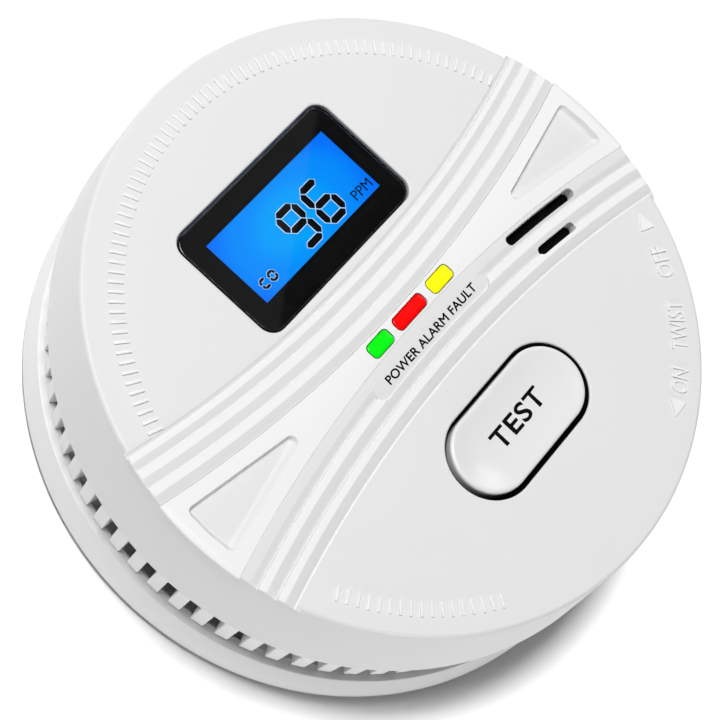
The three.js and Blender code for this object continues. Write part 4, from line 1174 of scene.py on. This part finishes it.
def stageAndCamera():
    bm = bmesh.new()
    bmesh.ops.create_grid(bm, x_segments=1, y_segments=1, size=3)
    floor = objectFrom("floor", bm)
    floor.location.z = -0.0002
    # it glows a little more away from the object, so that it stays pale to the horizon
    glowOutward("floorFinish", (1.2, 1.2, 1.2), [(0.0, (0.9, 0.9, 0.9)), (0.85, (0.02, 0.02, 0.02))])
    floor.data.materials.append(bpy.data.materials["floorFinish"])
    turn = (Matrix.Rotation(math.radians(camera["roll"]), 3, "Z")
            @ Matrix.Rotation(math.radians(camera["tilt"]), 3, "X")
            @ Matrix.Rotation(math.radians(camera["spin"]), 3, "Z"))
    place = -(turn.transposed() @ Vector(camera["offset"])) * camera["unit"] + Vector(camera["centre"])
    data = bpy.data.cameras.new("camera")
    data.sensor_width, data.lens = 36, 36 * camera["focal"]
    data.clip_start, data.clip_end = 0.01, 20
    cam = bpy.data.objects.new("camera", data)
    scene.collection.objects.link(cam)
    cam.matrix_world = Matrix.Translation(place * mm) @ turn.transposed().to_4x4()
    scene.camera = cam
    return floor


# direction round and height in degrees, side in metres, and whether the floor is lit:
# the wash lights nothing else
lightDistance = 1.5
lights = [
    {"name": "key", "round": 100, "height": 66, "side": 0.8, "power": 24.5, "floor": "EXCLUDE"},
    {"name": "sheen", "round": 4, "height": 46, "side": 0.45, "power": 2.4, "floor": "EXCLUDE"},
    {"name": "lowFront", "round": 238, "height": 8, "side": 0.5, "power": 7.5, "floor": "EXCLUDE"},
    {"name": "floorWash", "round": 94, "height": 81, "side": 0.24, "power": 25.0, "floor": "INCLUDE"},
]
world = {"colour": (1, 1, 1), "strength": 0.035, "seen": 0.9}
# pale card that shows in the window as a slanting reflection
card = {"at": (0.217, 0.137, 0.5), "size": (0.40, 0.20), "turn": 30, "power": 0.022}


def lampOf(name, shape, size, power):
    data = bpy.data.lights.new(name, "AREA")
    data.shape, data.energy = shape, power
    data.size, data.size_y = size
    lamp = bpy.data.objects.new(name, data)
    scene.collection.objects.link(lamp)
    return lamp


def lighting(floor):
    for one in lights:
        lamp = lampOf(one["name"], "SQUARE", (one["side"], one["side"]), one["power"])
        around, up = math.radians(one["round"]), math.radians(one["height"])
        away = Vector((math.cos(around) * math.cos(up), math.sin(around) * math.cos(up), math.sin(up)))
        lamp.location = away * lightDistance + Vector((0, 0, faceTop * mm))
        lamp.rotation_euler = (-away).to_track_quat("-Z", "Y").to_euler()
        share = bpy.data.collections.new(one["name"] + "Share")
        share.objects.link(floor)
        share.collection_objects[0].light_linking.link_state = one["floor"]
        lamp.light_linking.receiver_collection = share
    lamp = lampOf("card", "RECTANGLE", card["size"], card["power"])
    lamp.location, lamp.rotation_euler.z = card["at"], math.radians(card["turn"])
    scene.world = bpy.data.worlds.new("studio")
    scene.world.use_nodes = True
    tree = scene.world.node_tree
    background = tree.nodes["Background"]
    background.inputs["Color"].default_value = [*world["colour"], 1]
    # the backdrop looks pale past the floor's edge, though it lights little
    ray = addNode(tree, "ShaderNodeLightPath")
    level = addNode(tree, "ShaderNodeMapRange", To_Min=world["strength"], To_Max=world["seen"])
    wire(tree, (ray, "Is Camera Ray", level, "Value"), (level, 0, background, "Strength"))


lighting(stageAndCamera())
print("stage ready")
